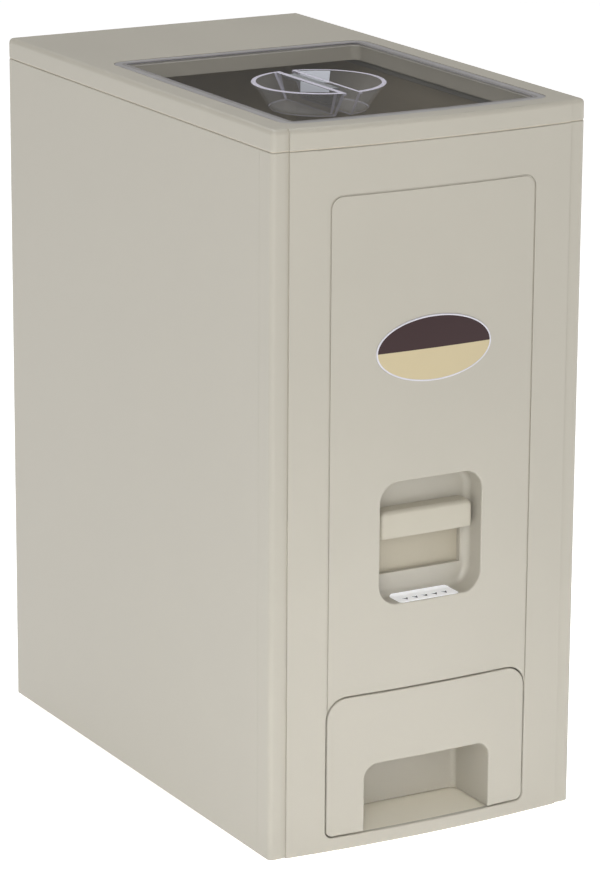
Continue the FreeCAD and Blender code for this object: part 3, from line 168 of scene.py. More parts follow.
def calc(tree, operation, *values):
    return addNode(tree, "ShaderNodeMath", dict(enumerate(values)), operation=operation).outputs[0]


def noise(tree, place, scale, detail):
    inputs = {"Vector": place, "Scale": scale, "Detail": detail}
    return addNode(tree, "ShaderNodeTexNoise", inputs).outputs["Fac"]


# finishes
mouldedInputs = {
    # inputs of the shader group, with their values where a finish has none of its own
    "Colour": (0.6, 0.6, 0.6, 1),
    "Patch Scale": 22.0,
    "Patch Strength": 0.05,
    "Grain Scale": 1400.0,
    "Wave Scale": 90.0,
    "Wave Strength": 1.2,
    "Roughness": 0.4,
    "Roughness Spread": 0.08,
}
noiseDetail = {"patch": 3, "grain": 2, "wave": 1}


def makeMouldedGroup():
    # fine spark-eroded grain, broad flow patches and a slightly uneven sheen
    group = bpy.data.node_groups.new("mouldedPlastic", "ShaderNodeTree")
    colour, number = "NodeSocketColor", "NodeSocketFloat"
    for title, value in mouldedInputs.items():
        kind = number if isinstance(value, float) else colour
        socket = group.interface.new_socket(title, in_out="INPUT", socket_type=kind)
        socket.default_value = value
    for title, kind in (("Colour", colour), ("Roughness", number), ("Height", number)):
        group.interface.new_socket(title, in_out="OUTPUT", socket_type=kind)
    start = group.nodes.new("NodeGroupInput").outputs
    end = group.nodes.new("NodeGroupOutput").inputs
    place = group.nodes.new("ShaderNodeTexCoord").outputs["Object"]
    patches = noise(group, place, start["Patch Scale"], noiseDetail["patch"])
    centred = calc(group, "SUBTRACT", patches, 0.5)
    factor = calc(group, "ADD", calc(group, "MULTIPLY", centred, start["Patch Strength"]), 1.0)
    tint = addNode(group, "ShaderNodeVectorMath", {0: start["Colour"], "Scale": factor}, operation="SCALE")
    group.links.new(tint.outputs[0], end["Colour"])
    grain = noise(group, place, start["Grain Scale"], noiseDetail["grain"])
    wave = noise(group, place, start["Wave Scale"], noiseDetail["wave"])
    height = calc(group, "ADD", grain, calc(group, "MULTIPLY", wave, start["Wave Strength"]))
    group.links.new(height, end["Height"])
    spread = calc(group, "MULTIPLY", centred, start["Roughness Spread"])
    group.links.new(calc(group, "ADD", spread, start["Roughness"]), end["Roughness"])
    return group


mouldedGroup = makeMouldedGroup()


def newMaterial(name):
    material = bpy.data.materials.new(name)
    material.use_nodes = True
    return material, material.node_tree, material.node_tree.nodes["Principled BSDF"]


usualLook = {
    "ior": 1.5,
    "gloss": 0.5,
    "bump": 0.25,
    "bumpDepth": 0.00005,
    "solidity": 1.0,
    "glow": 0.0,
    "inputs": {},  # values for the shader group's own inputs
}


def mouldedMaterial(name, changes):
    look = {**usualLook, **changes}
    material, tree, shader = newMaterial(name)
    finish = tree.nodes.new("ShaderNodeGroup")
    finish.node_tree = mouldedGroup
    finish.inputs["Colour"].default_value = (*look["colour"], 1)
    finish.inputs["Roughness"].default_value = look["roughness"]
    for title, value in look["inputs"].items():
        finish.inputs[title].default_value = value
    heights = {"Strength": look["bump"], "Distance": look["bumpDepth"], "Height": finish.outputs["Height"]}
    bump = addNode(tree, "ShaderNodeBump", heights)
    tree.links.new(finish.outputs["Colour"], shader.inputs["Base Color"])
    tree.links.new(finish.outputs["Roughness"], shader.inputs["Roughness"])
    tree.links.new(bump.outputs["Normal"], shader.inputs["Normal"])
    shader.inputs["IOR"].default_value = look["ior"]
    shader.inputs["Specular IOR Level"].default_value = look["gloss"]
    shader.inputs["Alpha"].default_value = look["solidity"]
    shader.inputs["Emission Color"].default_value = (*look["colour"], 1)
    shader.inputs["Emission Strength"].default_value = look["glow"]
    return material


finishes = {
    "casePlastic": {"colour": (0.430, 0.405, 0.345), "roughness": 0.38},
    # lighter than the case plastic: painted light in the lid seam
    "seamLipLit": {"colour": (0.50, 0.45, 0.36), "roughness": 0.5},
    "knobPlastic": {"colour": (0.45, 0.42, 0.345), "roughness": 0.34},
    # paler than the case plastic: painted light on the deck seen through the drawer pull
    "deckLitPlastic": {"colour": (0.80, 0.755, 0.64), "roughness": 0.4},
    "innerPlastic": {"colour": (0.41, 0.372, 0.29), "roughness": 0.45},
    # darker than the case plastic: painted shade inside the hopper under the window
    "hopperShadedPlastic": {"colour": (0.36, 0.318, 0.245), "roughness": 0.4},
    "trayPlastic": {"colour": (0.46, 0.435, 0.372), "roughness": 0.4},
    "gearPlastic": {"colour": (0.75, 0.74, 0.68), "roughness": 0.35},
    "footRubber": {"colour": (0.02, 0.02, 0.02), "roughness": 0.8, "inputs": {"Patch Strength": 0.3}},
    "sealRubber": {"colour": (0.30, 0.30, 0.28), "roughness": 0.7, "inputs": {"Patch Strength": 0.2}},
    # the tape is lightened and glows: painted light on its shaded inner edge under the border film
    "tapeGreyGlow": {"colour": (0.60, 0.575, 0.53), "roughness": 0.5, "glow": 0.12,
                 "inputs": {"Patch Strength": 0.3, "Patch Scale": 60.0}},
    "badgeBrown": {"colour": (0.030, 0.0105, 0.0115), "roughness": 0.3, "gloss": 0.35, "bump": 0.05},
    "badgeCream": {"colour": (0.52, 0.44, 0.275), "roughness": 0.35, "gloss": 0.35, "bump": 0.05},
    "rimSilver": {"colour": (0.62, 0.61, 0.66), "roughness": 0.28, "bump": 0.05},
    # the label glows: painted light on it in the shaded lever recess
    "labelWhiteGlow": {"colour": (0.92, 0.93, 0.96), "roughness": 0.3, "bump": 0.05, "glow": 0.16,
                   "inputs": {"Patch Strength": 0.02}},
    "labelInk": {"colour": (0.05, 0.05, 0.06), "roughness": 0.4, "bump": 0.05},
    # painted highlight on the sheet's polished edge, and a light line at the tape's inner edge
    "paneEdgeHighlight": {"colour": (0.52, 0.51, 0.58), "roughness": 0.25, "bump": 0.05, "solidity": 0.8},
    "paneBorder": {"colour": (0.38, 0.37, 0.375), "roughness": 0.3, "bump": 0.05, "solidity": 0.88,
                   "inputs": {"Patch Strength": 0.35, "Patch Scale": 60.0}},
    "paneShade": {"colour": (0.30, 0.285, 0.27), "roughness": 0.3, "bump": 0.05, "solidity": 0.75,
                  "inputs": {"Patch Strength": 0.35, "Patch Scale": 60.0}},
    # painted shadow line at the tape's inner edge
    "paneShadowLine": {"colour": (0.20, 0.19, 0.18), "roughness": 0.4, "bump": 0.05, "solidity": 0.45},
    # painted highlights on the clear dish: its rim's top, its foot edge and the corners of each D
    "dishRimHighlight": {"colour": (0.82, 0.79, 0.93), "roughness": 0.2, "bump": 0.05, "solidity": 0.88},
    # the panels glow: painted light on them inside the clear dish
    "dishPanelGlow": {"colour": (0.40, 0.415, 0.46), "roughness": 0.4, "bump": 0.1, "glow": 0.40},
    "dishEdgeHighlight": {"colour": (0.74, 0.72, 0.86), "roughness": 0.2, "bump": 0.05, "solidity": 0.45},
    "dishStrip": {"colour": (0.20, 0.21, 0.22), "roughness": 0.5, "bump": 0.6,
                  "inputs": {"Patch Strength": 1.2, "Patch Scale": 700.0}},
}
materials = {name: mouldedMaterial(name, look) for name, look in finishes.items()}


steelLook = {"colour": (0.55, 0.55, 0.54), "roughness": 0.2, "spread": 0.25, "grain": 900.0, "detail": 4}


def steelMaterial():
    material, tree, shader = newMaterial("brightSteel")
    shader.inputs["Metallic"].default_value = 1.0
    shader.inputs["Base Color"].default_value = (*steelLook["colour"], 1)
    place = tree.nodes.new("ShaderNodeTexCoord").outputs["Object"]
    grain = noise(tree, place, steelLook["grain"], steelLook["detail"])
    spread = calc(tree, "MULTIPLY", grain, steelLook["spread"])
    tree.links.new(calc(tree, "ADD", spread, steelLook["roughness"]), shader.inputs["Roughness"])
    return material


clearLooks = {
    # tint, how solid it looks face on and edge on, roughness
    "clearSheet": {"tint": (0.60, 0.59, 0.58), "faceOn": 0.02, "edgeOn": 0.06, "roughness": 0.03},
    "clearDish": {"tint": (0.68, 0.67, 0.66), "faceOn": 0.05, "edgeOn": 0.18, "roughness": 0.06},
}
clearShared = {"ior": 1.49, "facingBlend": 0.3, "smearScale": 35.0, "smearDetail": 3, "smearStrength": 0.06}


def clearMaterial(name):
    look = clearLooks[name]
    material, tree, shader = newMaterial(name)
    shader.inputs["Base Color"].default_value = (*look["tint"], 1)
    shader.inputs["IOR"].default_value = clearShared["ior"]
    place = tree.nodes.new("ShaderNodeTexCoord").outputs["Object"]
    smears = noise(tree, place, clearShared["smearScale"], clearShared["smearDetail"])
    smears = calc(tree, "MULTIPLY", smears, clearShared["smearStrength"])
    tree.links.new(calc(tree, "ADD", smears, look["roughness"]), shader.inputs["Roughness"])
    facing = addNode(tree, "ShaderNodeLayerWeight", {"Blend": clearShared["facingBlend"]}).outputs["Facing"]
    grazing = calc(tree, "MULTIPLY", facing, look["edgeOn"] - look["faceOn"])
    tree.links.new(calc(tree, "ADD", grazing, look["faceOn"]), shader.inputs["Alpha"])
    return material


materials["brightSteel"] = steelMaterial()
materials["clearSheet"] = clearMaterial("clearSheet")
materials["clearDish"] = clearMaterial("clearDish")

finishOf = {
    "casePlastic": ["side_panel_left", "side_panel_right", "rear_panel", "front_fascia", "lid_frame",
                    "drawer_front"],
    "deckLitPlastic": ["base_tray"],
    "knobPlastic": ["lever_knob"],
    "innerPlastic": ["drawer_bay", "drawer_runners", "lever_slide", "slide_guide_left", "slide_guide_right",
                     "spring_post", "rice_chute", "metering_housing", "metering_drum"],
    "hopperShadedPlastic": ["hopper"],
    "trayPlastic": ["drawer_tray"],
    "gearPlastic": ["drum_gear", "idler_gear", "shaft_bushes"],
    "footRubber": ["rubber_feet"],
    "sealRubber": ["lid_seal"],
    "tapeGreyGlow": ["window_tape"],
    "rimSilver": ["badge_plate"],
    "brightSteel": ["hinge_pins", "drum_shaft", "shaft_clips", "idler_pin", "return_spring", "base_screws",
                    "rear_screws", "housing_screws", "guide_screws", "knob_screws", "drawer_screws"],
    "clearSheet": ["lid_window"],
    "clearDish": ["repellent_dish"],
}


def placeFinishes():
    for finish, members in finishOf.items():
        for member in members:
            slots = nodes[member].data.materials
            slots.clear()
            slots.append(materials[finish])


placeFinishes()
print("finishes placed")


sharpAngle = 0.6  # radians between two faces past which their edge stays sharp
mergeWithin = 1e-6  # points this close are one
sliverBelow = 1e-7  # edges shorter than this are dropped


def pieceFrom(name, build, finishNames, body):
    # bmesh to object, with its materials in order
    mesh = bpy.data.meshes.new(name)
    build.to_mesh(mesh)
    build.free()
    for finishName in finishNames:
        mesh.materials.append(materials[finishName])
    piece = bpy.data.objects.new(name, mesh)
    bpy.context.scene.collection.objects.link(piece)
    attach(piece, body)
    return piece


def mergedCopy(node):
    # a node's loose triangles joined up, smooth but for its sharp edges
    build = bmesh.new()
    build.from_mesh(nodes[node].data)
    bmesh.ops.remove_doubles(build, verts=build.verts, dist=mergeWithin)
    bmesh.ops.dissolve_degenerate(build, edges=build.edges, dist=sliverBelow)
    for face in build.faces:
        face.smooth = True
    for edge in build.edges:
        edge.smooth = len(edge.link_faces) == 2 and edge.calc_face_angle() < sharpAngle
    return build


def addFaces(build, loop, following, materialIndex=0):
    # quads between two closed loops of as many points
    faces = []
    for i in range(len(loop)):
        j = (i + 1) % len(loop)
        face = build.faces.new((loop[i], loop[j], following[j], following[i]))
        face.material_index = materialIndex
        faces.append(face)
    return faces


def addBand(build, outer, inner, foot, top, materialIndex=0):
    # flat closed band with a rectangular section, between two outlines
    section = ((outer, top), (inner, top), (inner, foot), (outer, foot))
    loops = [[build.verts.new((x, y, height)) for x, y in outline] for outline, height in section]
    for loop, following in zip(loops, loops[1:] + loops[:1]):
        addFaces(build, loop, following, materialIndex)


# clear window with a painted highlight on its polished edge, taped down along a border
pane = {
    "lift": 0.00005,  # of its underside, clear of the tape
    "flatAbove": 0.97,  # a face this level is clear, and any other is a polished edge with a painted highlight
    "bands": [  # taped strip seen through the sheet, then painted shade, a painted highlight line and a painted shadow line at its inner edge: outer and inner inset, finish
        (0.0005, 0.0046, "paneBorder"),
        (0.0046, 0.0066, "paneShade"),
        (0.0066, 0.0070, "paneEdgeHighlight"),
        (0.0070, 0.0075, "paneShadowLine"),
    ],
    "corner": 0.0095,
    "leastCorner": 0.001,
    "cornerSteps": 10,
    "frontBow": 0.0032,
    "frontSteps": 30,
    "filmThickness": 0.00003,
}


def paneOutline(inset):
    # round the sheet's edge, anticlockwise from the front left, with a gently bowed front
    low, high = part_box("lid_window")
    half, rear, crown = high.x - inset, high.y - inset, low.y + inset
    radius = max(pane["leastCorner"], pane["corner"] - inset)
    straight = half - radius
    bowRadius = (half ** 2 + pane["frontBow"] ** 2) / (2 * pane["frontBow"])

    def bowed(x):
        return crown + bowRadius - math.sqrt(bowRadius ** 2 - x * x)

    shares = [2 * i / pane["frontSteps"] - 1 for i in range(pane["frontSteps"] + 1)]
    front = [(straight * share, bowed(straight * share)) for share in shares]
    foot = bowed(straight) + radius
    arcs = []
    corners = ((straight, foot), (straight, rear - radius), (-straight, rear - radius), (-straight, foot))
    for quarter, (x, y) in enumerate(corners):
        for i in range(pane["cornerSteps"] + 1):
            turn = math.pi / 2 * (quarter - 1 + i / pane["cornerSteps"])
            arcs.append((x + radius * math.cos(turn), y + radius * math.sin(turn)))
    return front + arcs[1:-1]  # the first and last points of the arcs are the front's own ends


def addPane():
    build = mergedCopy("lid_window")
    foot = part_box("lid_window")[0].z
    for vert in build.verts:
        if vert.co.z < foot + pane["lift"]:
            vert.co.z += pane["lift"]
    # side faces take the painted highlight of the polished edge
    for face in build.faces:
        face.material_index = 0 if abs(face.normal.z) > pane["flatAbove"] else 1
    piece = pieceFrom("windowPane", build, ["clearSheet", "paneEdgeHighlight"], "lid")
    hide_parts("lid_window")
    film = bmesh.new()
    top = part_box("lid_window")[1].z
    for index, (outer, inner, _) in enumerate(pane["bands"]):
        addBand(film, paneOutline(outer), paneOutline(inner), top, top + pane["filmThickness"], index)
    bmesh.ops.recalc_face_normals(film, faces=film.faces)
    pieceFrom("windowBorder", film, [finish for _, _, finish in pane["bands"]], "lid")


# round clear dish in two D-shaped cups, with painted highlights on its rims, feet and corners, a strip
# between them and pale panels inside that glow with painted light
dish = {
    "drop": 0.0001,  # clear of the sheet that carries it
    "rimRadius": 0.0375,
    "mouthRadius": 0.0347,
    "topRadius": 0.0360,
    "footRadius": 0.0275,
    "footEdge": (0.0004, 0.0007),  # outwards and upwards
    "wall": 0.0013,
    "straightRim": {-1: 0.0034, 1: 0.0013},  # width of the rim beside the gap, left and right
    "rimHeight": 0.0013,
    "rimBevel": 0.0002,
    "mouthDrop": 0.0003,
    "depth": 0.0146,
    "gap": 0.0040,  # half of the way between the cups
    "taper": 0.0006,
    "arcSteps": 48,
    "straightSteps": 4,
}
dishStrip = {
    "drop": 0.0014,
    "front": -0.0150,  # from the dish's middle
    "rearPlay": 0.002,
    "thickness": 0.0012,
}
dishPanels = {
    "drop": 0.0003,
    "height": 0.0060,
    "thickness": 0.0005,
    "side": (-0.0250, 0.0060),  # front and rear end, from the dish's middle
    "sideFront": 0.0010,  # its height at the front end
    "sidePlay": 0.0003,
    "arcReach": 0.0225,  # how far its outer end is from the dish's middle, to the right
    "arcPlay": 0.0002,
    "arcGapPlay": 0.0009,
    "arcSteps": 10,
}


def cupOutline(side, radius, straight):
    # D shape, from the front end of its straight side round the arc and back
    turn = math.acos(straight / radius)
    arc = [-turn + 2 * turn * i / dish["arcSteps"] for i in range(dish["arcSteps"] + 1)]
    points = [(side * radius * math.cos(angle), radius * math.sin(angle)) for angle in arc]
    end = points[-1][1]
    for i in range(1, dish["straightSteps"]):
        points.append((side * straight, end * (1 - 2 * i / dish["straightSteps"])))
    return points


def addCup(build, side, middle, top):
    # rim and edge are the painted highlight finishes
    clear, rim, edge = 0, 1, 2
    gap, wall, taper, bevel = dish["gap"], dish["wall"], dish["taper"], dish["rimBevel"]
    outwards, upwards = dish["footEdge"]
    innerRim = gap + dish["straightRim"][side]
    sections = [
        # radius, straight side, height, material
        (dish["footRadius"], gap + taper, -dish["depth"], clear),
        (dish["footRadius"] + outwards, gap + taper, upwards - dish["depth"], edge),
        (dish["topRadius"], gap, -dish["rimHeight"], clear),
        (dish["rimRadius"], gap, -dish["rimHeight"], clear),
        (dish["rimRadius"], gap, -bevel, clear),
        (dish["rimRadius"] - bevel, gap + bevel, 0.0, rim),
        (dish["mouthRadius"] + bevel, innerRim, 0.0, rim),
        (dish["mouthRadius"], innerRim + bevel, -dish["mouthDrop"], clear),
        (dish["footRadius"] - wall, gap + taper + wall, wall - dish["depth"], clear),
    ]
    loops = []
    for radius, straight, height, _ in sections:
        loops.append([build.verts.new((middle.x + x, middle.y + y, top + height))
                      for x, y in cupOutline(side, radius, straight)])
    for loop, following, section in zip(loops, loops[1:], sections[1:]):
        faces = addFaces(build, loop, following, section[3])
        if section[3] == clear:
            # painted highlight lines at the two corners of the D
            faces[0].material_index = edge
            faces[dish["arcSteps"] - 1].material_index = edge
        for face in faces:
            face.smooth = True
    build.faces.new(loops[0])
    build.faces.new(loops[-1])


def addCups(middle, top):
    cups = bmesh.new()
    for side in (-1, 1):
        addCup(cups, side, middle, top)
    bmesh.ops.recalc_face_normals(cups, faces=cups.faces)
    for edge in cups.edges:
        edge.smooth = edge.calc_face_angle() < sharpAngle
    piece = pieceFrom("repellentDish", cups, ["clearDish", "dishRimHighlight", "dishEdgeHighlight"], "lid")
    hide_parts("repellent_dish")


def addPlate(build, highOutline, lowOutline, top, feet):
    # upright, leaning or flat plate between two outlines, with a foot height for each corner
    high = [build.verts.new((x, y, top)) for x, y in highOutline]
    low = [build.verts.new((x, y, foot)) for (x, y), foot in zip(lowOutline, feet)]
    build.faces.new(high)
    build.faces.new(low)
    addFaces(build, low, high)


def rectangle(middle, left, right, front, rear):
    corners = ((left, front), (right, front), (right, rear), (left, rear))
    return [(middle.x + x, middle.y + y) for x, y in corners]


def addStrip(middle, dishTop):
    strip = bmesh.new()
    gap, top = dish["gap"], dishTop - dishStrip["drop"]
    rear = math.sqrt(dish["topRadius"] ** 2 - gap ** 2) - dishStrip["rearPlay"]
    outline = rectangle(middle, -gap, gap, dishStrip["front"], rear)
    addPlate(strip, outline, outline, top, [top - dishStrip["thickness"]] * len(outline))
    bmesh.ops.recalc_face_normals(strip, faces=strip.faces)
    pieceFrom("dishStrip", strip, ["dishStrip"], "lid")


def addPanels(middle, dishTop):
    panels = bmesh.new()
    thickness = dishPanels["thickness"]
    top = dishTop - dishPanels["drop"]
    foot = top - dishPanels["height"]
    # one stands along the left cup's straight side, and is lower at the front
    right = -dish["gap"] - dish["straightRim"][-1] - dishPanels["sidePlay"]
    outline = rectangle(middle, right - thickness, right, *dishPanels["side"])
    frontFoot = top - dishPanels["sideFront"]
    addPlate(panels, outline, outline, top, [frontFoot, frontFoot, foot, foot])
    # the other leans against the inside of the right cup's arc
    lean = dishPanels["height"] / dish["depth"] * (dish["topRadius"] - dish["footRadius"])
    radius = dish["mouthRadius"] - dishPanels["arcPlay"]
    first = math.acos((dish["gap"] + dish["wall"] + dishPanels["arcGapPlay"]) / (radius - lean))
    last = math.acos(dishPanels["arcReach"] / radius)
    steps = dishPanels["arcSteps"]
    turns = [first + (last - first) * i / steps for i in range(steps + 1)]

    def arcOutline(outer):
        way = [(outer, turn) for turn in turns] + [(outer - thickness, turn) for turn in reversed(turns)]
        return [(middle.x + reach * math.cos(turn), middle.y + reach * math.sin(turn)) for reach, turn in way]

    addPlate(panels, arcOutline(radius), arcOutline(radius - lean), top, [foot] * 2 * len(turns))
    bmesh.ops.recalc_face_normals(panels, faces=panels.faces)
    pieceFrom("dishPanels", panels, ["dishPanelGlow"], "lid")


def addDish():
    low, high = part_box("repellent_dish")
    middle, top = (low + high) / 2, high.z - dish["drop"]
    addCups(middle, top)
    addStrip(middle, top)
    addPanels(middle, top)


addPane()
addDish()
print("window and dish made")


# narrow lip under the lid's edge, set back in the seam above the body, in a lighter finish that paints light
# into the seam
seamLip = {
    "cutHeight": 0.4000,  # where the lid's side is plain
    "inset": 0.00040,  # back from the lid's side
    "width": 0.0008,
    "foot": 0.39408,  # heights above the feet
    "top": 0.39470,
}


def lidOutline():
    # outermost closed run of points where a level plane cuts the lid's side
    build = mergedCopy("lid_frame")
    cut = bmesh.ops.bisect_plane(build, geom=build.verts[:] + build.edges[:] + build.faces[:],
                                 plane_co=(0, 0, seamLip["cutHeight"]), plane_no=(0, 0, 1),
                                 clear_inner=True, clear_outer=True)
    left = {item for item in cut["geom_cut"] if isinstance(item, bmesh.types.BMVert)}
    runs = []
    while left:
        run, vert = [], max(left, key=lambda vert: (vert.co.x, vert.co.y))
        while vert is not None:
            left.discard(vert)
            run.append(Vector((vert.co.x, vert.co.y)))
            neighbours = [edge.other_vert(vert) for edge in vert.link_edges]
            vert = next((neighbour for neighbour in neighbours if neighbour in left), None)
        runs.append(run)
    build.free()
    outer = max(runs, key=lambda run: max(point.x for point in run))
    area = sum(a.x * b.y - b.x * a.y for a, b in zip(outer, outer[1:] + outer[:1]))
    return outer if area > 0 else outer[::-1]


def insetOutline(points, inset):
    # each point moved inwards, square to the line between its neighbours
    moved = []
    for before, point, after in zip(points[-1:] + points[:-1], points, points[1:] + points[:1]):
        way = (after - before).normalized()
        moved.append((point.x - way.y * inset, point.y + way.x * inset))
    return moved


def addSeamLip():
    outline = lidOutline()
    outer = insetOutline(outline, seamLip["inset"])
    inner = insetOutline(outline, seamLip["inset"] + seamLip["width"])
    build = bmesh.new()
    addBand(build, outer, inner, seamLip["foot"], seamLip["top"])
    bmesh.ops.recalc_face_normals(build, faces=build.faces)
    pieceFrom("seamLip", build, ["seamLipLit"], "lid")


addSeamLip()
print("seam lip made")


# oval badge, bare: brown over cream inside a silver rim, on the bowed front
badge = {
    "halfWidth": 0.0359,
    "halfHeight": 0.0182,
    "height": 0.2806,  # its middle above the feet
    "bowRadius": 0.8623,
    "sink": 0.00055,
    "proud": 0.00048,
    "rim": 0.0009,
    "bead": [(1.0, 0.55), (0.8, 0.9), (0.5, 1.0), (0.2, 0.85), (0.0, 0.45)],  # shares of rim and proud
    "dome": 0.00018,
    "across": 56,
    "rows": 7,
    "turns": 112,
}
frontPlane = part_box("front_fascia")[0].y


def bowAt(x):
    return frontPlane + badge["bowRadius"] - math.sqrt(badge["bowRadius"] ** 2 - x * x)


def badgePoint(build, x, z, out):
    return build.verts.new((x, bowAt(x) - out, badge["height"] + z))


def badgeFace(build, wide, tall, out, back):
    # columns of quads between the ellipse and its long axis, above and below
    for side in (1, -1):
        columns = []
        for i in range(badge["across"] + 1):
            x = -wide * math.cos(math.pi * i / badge["across"])
            top = tall * math.sqrt(max(0.0, 1 - (x / wide) ** 2))
            column = []
            for j in range(badge["rows"] + 1):
                z = side * top * j / badge["rows"]
                rise = 0 if back else badge["dome"] * (1 - (x / wide) ** 2 - (z / tall) ** 2)
                column.append(badgePoint(build, x, z, out + rise))
            columns.append(column)
        for first, second in zip(columns, columns[1:]):
            for j in range(badge["rows"]):
                face = build.faces.new((first[j], second[j], second[j + 1], first[j + 1]))
                face.material_index = 0 if side > 0 else 1
                face.smooth = True
                if (side < 0) != back:
                    face.normal_flip()


def badgeRim(build):
    # bead round the face, then a wall down into the front
    section = [(-badge["rim"] * inwards, badge["proud"] * out) for inwards, out in badge["bead"]]
    section.append((0, -badge["sink"]))
    rings = []
    for i in range(badge["turns"]):
        turn = 2 * math.pi * i / badge["turns"]
        ring = []
        for reach, out in section:
            x = (badge["halfWidth"] + reach) * math.cos(turn)
            z = (badge["halfHeight"] + reach) * math.sin(turn)
            ring.append(badgePoint(build, x, z, out))
        rings.append(ring)
    for ring, following in zip(rings, rings[1:] + rings[:1]):
        for j in range(len(section) - 1):
            face = build.faces.new((ring[j], ring[j + 1], following[j + 1], following[j]))
            face.material_index = 2
            face.smooth = True


def addBadge():
    build = bmesh.new()
    rim, faceOut = badge["rim"], badge["proud"] * badge["bead"][0][1]
    badgeFace(build, badge["halfWidth"] - rim, badge["halfHeight"] - rim, faceOut, False)
    badgeFace(build, badge["halfWidth"], badge["halfHeight"], -badge["sink"], True)
    badgeRim(build)
    piece = pieceFrom("badge", build, ["badgeBrown", "badgeCream", "rimSilver"], "cabinet")
    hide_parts("badge_plate")


addBadge()
print("badge made")


# small adhesive label on the floor of the lever recess, with plain arrowheads
label = {
    "half": 0.0188,
    "front": -0.1627,
    "rear": -0.1496,
    "floor": 0.1397,
    "bend": 0.004,  # radius where the recess floor turns up
    "bendFrom": -0.15225,
    "corner": 0.0018,
    "gap": 0.00005,
    "thickness": 0.00016,
    "rows": 14,
    "columns": 16,
    "arrow": [(0, -1), (0.8, 0.6), (0, 0.15), (-0.8, 0.6)],  # corners, in arrow sizes
    "arrowSize": 0.0024,
    "arrowPitch": 0.0062,
    "arrowCount": 5,
    "inkThickness": 0.00003,
}


def labelHeight(y, lift):
    past = max(0.0, y - label["bendFrom"])
    return label["floor"] + label["bend"] - math.sqrt(label["bend"] ** 2 - past ** 2) + lift


def labelLayer(build, lift):
    # rows follow the floor, and the ends of the first and last rows are drawn in for rounded corners
    half, front, rear, corner = label["half"], label["front"], label["rear"], label["corner"]
    rows, columns = label["rows"], label["columns"]
    grid = []
    for j in range(rows + 1):
        y = front + (rear - front) * j / rows
        away = min(corner, y - front, rear - y)
        reach = half - corner + math.sqrt(max(0.0, corner ** 2 - (corner - away) ** 2))
        grid.append([build.verts.new((reach * (2 * i / columns - 1), y, labelHeight(y, lift)))
                     for i in range(columns + 1)])
    return grid


def labelSheet(build):
    low = labelLayer(build, label["gap"])
    high = labelLayer(build, label["gap"] + label["thickness"])
    rows, columns = label["rows"], label["columns"]
    for j in range(rows):
        for i in range(columns):
            build.faces.new((high[j][i], high[j][i + 1], high[j + 1][i + 1], high[j + 1][i]))
            build.faces.new((low[j][i], low[j + 1][i], low[j + 1][i + 1], low[j][i + 1]))
        build.faces.new((low[j][0], high[j][0], high[j + 1][0], low[j + 1][0]))
        build.faces.new((low[j][columns], low[j + 1][columns], high[j + 1][columns], high[j][columns]))
    for i in range(columns):
        build.faces.new((low[0][i], low[0][i + 1], high[0][i + 1], high[0][i]))
        build.faces.new((low[rows][i], high[rows][i], high[rows][i + 1], low[rows][i + 1]))


def labelArrow(build, x, y, top):
    # flat arrowhead that points out of the recess
    size = label["arrowSize"]
    build.faces.new([build.verts.new((x + u * size, y + v * size, top)) for u, v in label["arrow"]])


def addLabel():
    build = bmesh.new()
    labelSheet(build)
    pieceFrom("pressLabel", build, ["labelWhiteGlow"], "cabinet")
    ink = bmesh.new()
    top = label["floor"] + label["gap"] + label["thickness"] + label["inkThickness"]
    middle = (label["front"] + label["bendFrom"]) / 2
    for i in range(label["arrowCount"]):
        labelArrow(ink, (i - (label["arrowCount"] - 1) / 2) * label["arrowPitch"], middle, top)
    bmesh.ops.recalc_face_normals(ink, faces=ink.faces)
    for face in ink.faces:
        if face.normal.z < 0:
            face.normal_flip()
    bmesh.ops.solidify(ink, geom=list(ink.faces), thickness=label["inkThickness"])
    pieceFrom("pressLabelPrint", ink, ["labelInk"], "cabinet")


addLabel()
print("label made")


# node trees for what repeats or follows a path
def newNodeTree(name, numbers, others):
    # numbers: names of plain sizes, others: name and socket kind
    tree = bpy.data.node_groups.new(name, "GeometryNodeTree")
    sockets = [(title, "NodeSocketFloat") for title in numbers] + others
    for title, kind in [("Geometry", "NodeSocketGeometry")] + sockets:
        tree.interface.new_socket(title, in_out="INPUT", socket_type=kind)
    tree.interface.new_socket("Geometry", in_out="OUTPUT", socket_type="NodeSocketGeometry")
    return tree, tree.nodes.new("NodeGroupInput").outputs, tree.nodes.new("NodeGroupOutput").inputs


def vectorOf(tree, **parts):
    return addNode(tree, "ShaderNodeCombineXYZ", parts).outputs[0]


def shifted(tree, geometry, way):
    return addNode(tree, "GeometryNodeTransform", {"Geometry": geometry, "Translation": way}).outputs[0]


def finishTree(tree, geometry, finish, end):
    # every tree ends with real geometry and its material
    real = addNode(tree, "GeometryNodeRealizeInstances", {"Geometry": geometry}).outputs[0]
    shown = addNode(tree, "GeometryNodeSetMaterial", {"Geometry": real, "Material": finish}).outputs[0]
    tree.links.new(shown, end["Geometry"])


def meshFromTree(name, seed, tree, values):
    # runs a tree on a seed mesh and leaves a plain mesh
    carrier = bpy.data.objects.new(name, seed)
    bpy.context.scene.collection.objects.link(carrier)
    modifier = carrier.modifiers.new("tree", "NODES")
    modifier.node_group = tree
    for item in tree.interface.items_tree:
        if item.in_out == "INPUT" and item.name in values:
            modifier[item.identifier] = values[item.name]
    graph = bpy.context.evaluated_depsgraph_get()
    mesh = bpy.data.meshes.new_from_object(carrier.evaluated_get(graph))
    mesh.name = name
    carrier.modifiers.remove(modifier)
    carrier.data = mesh
    return carrier


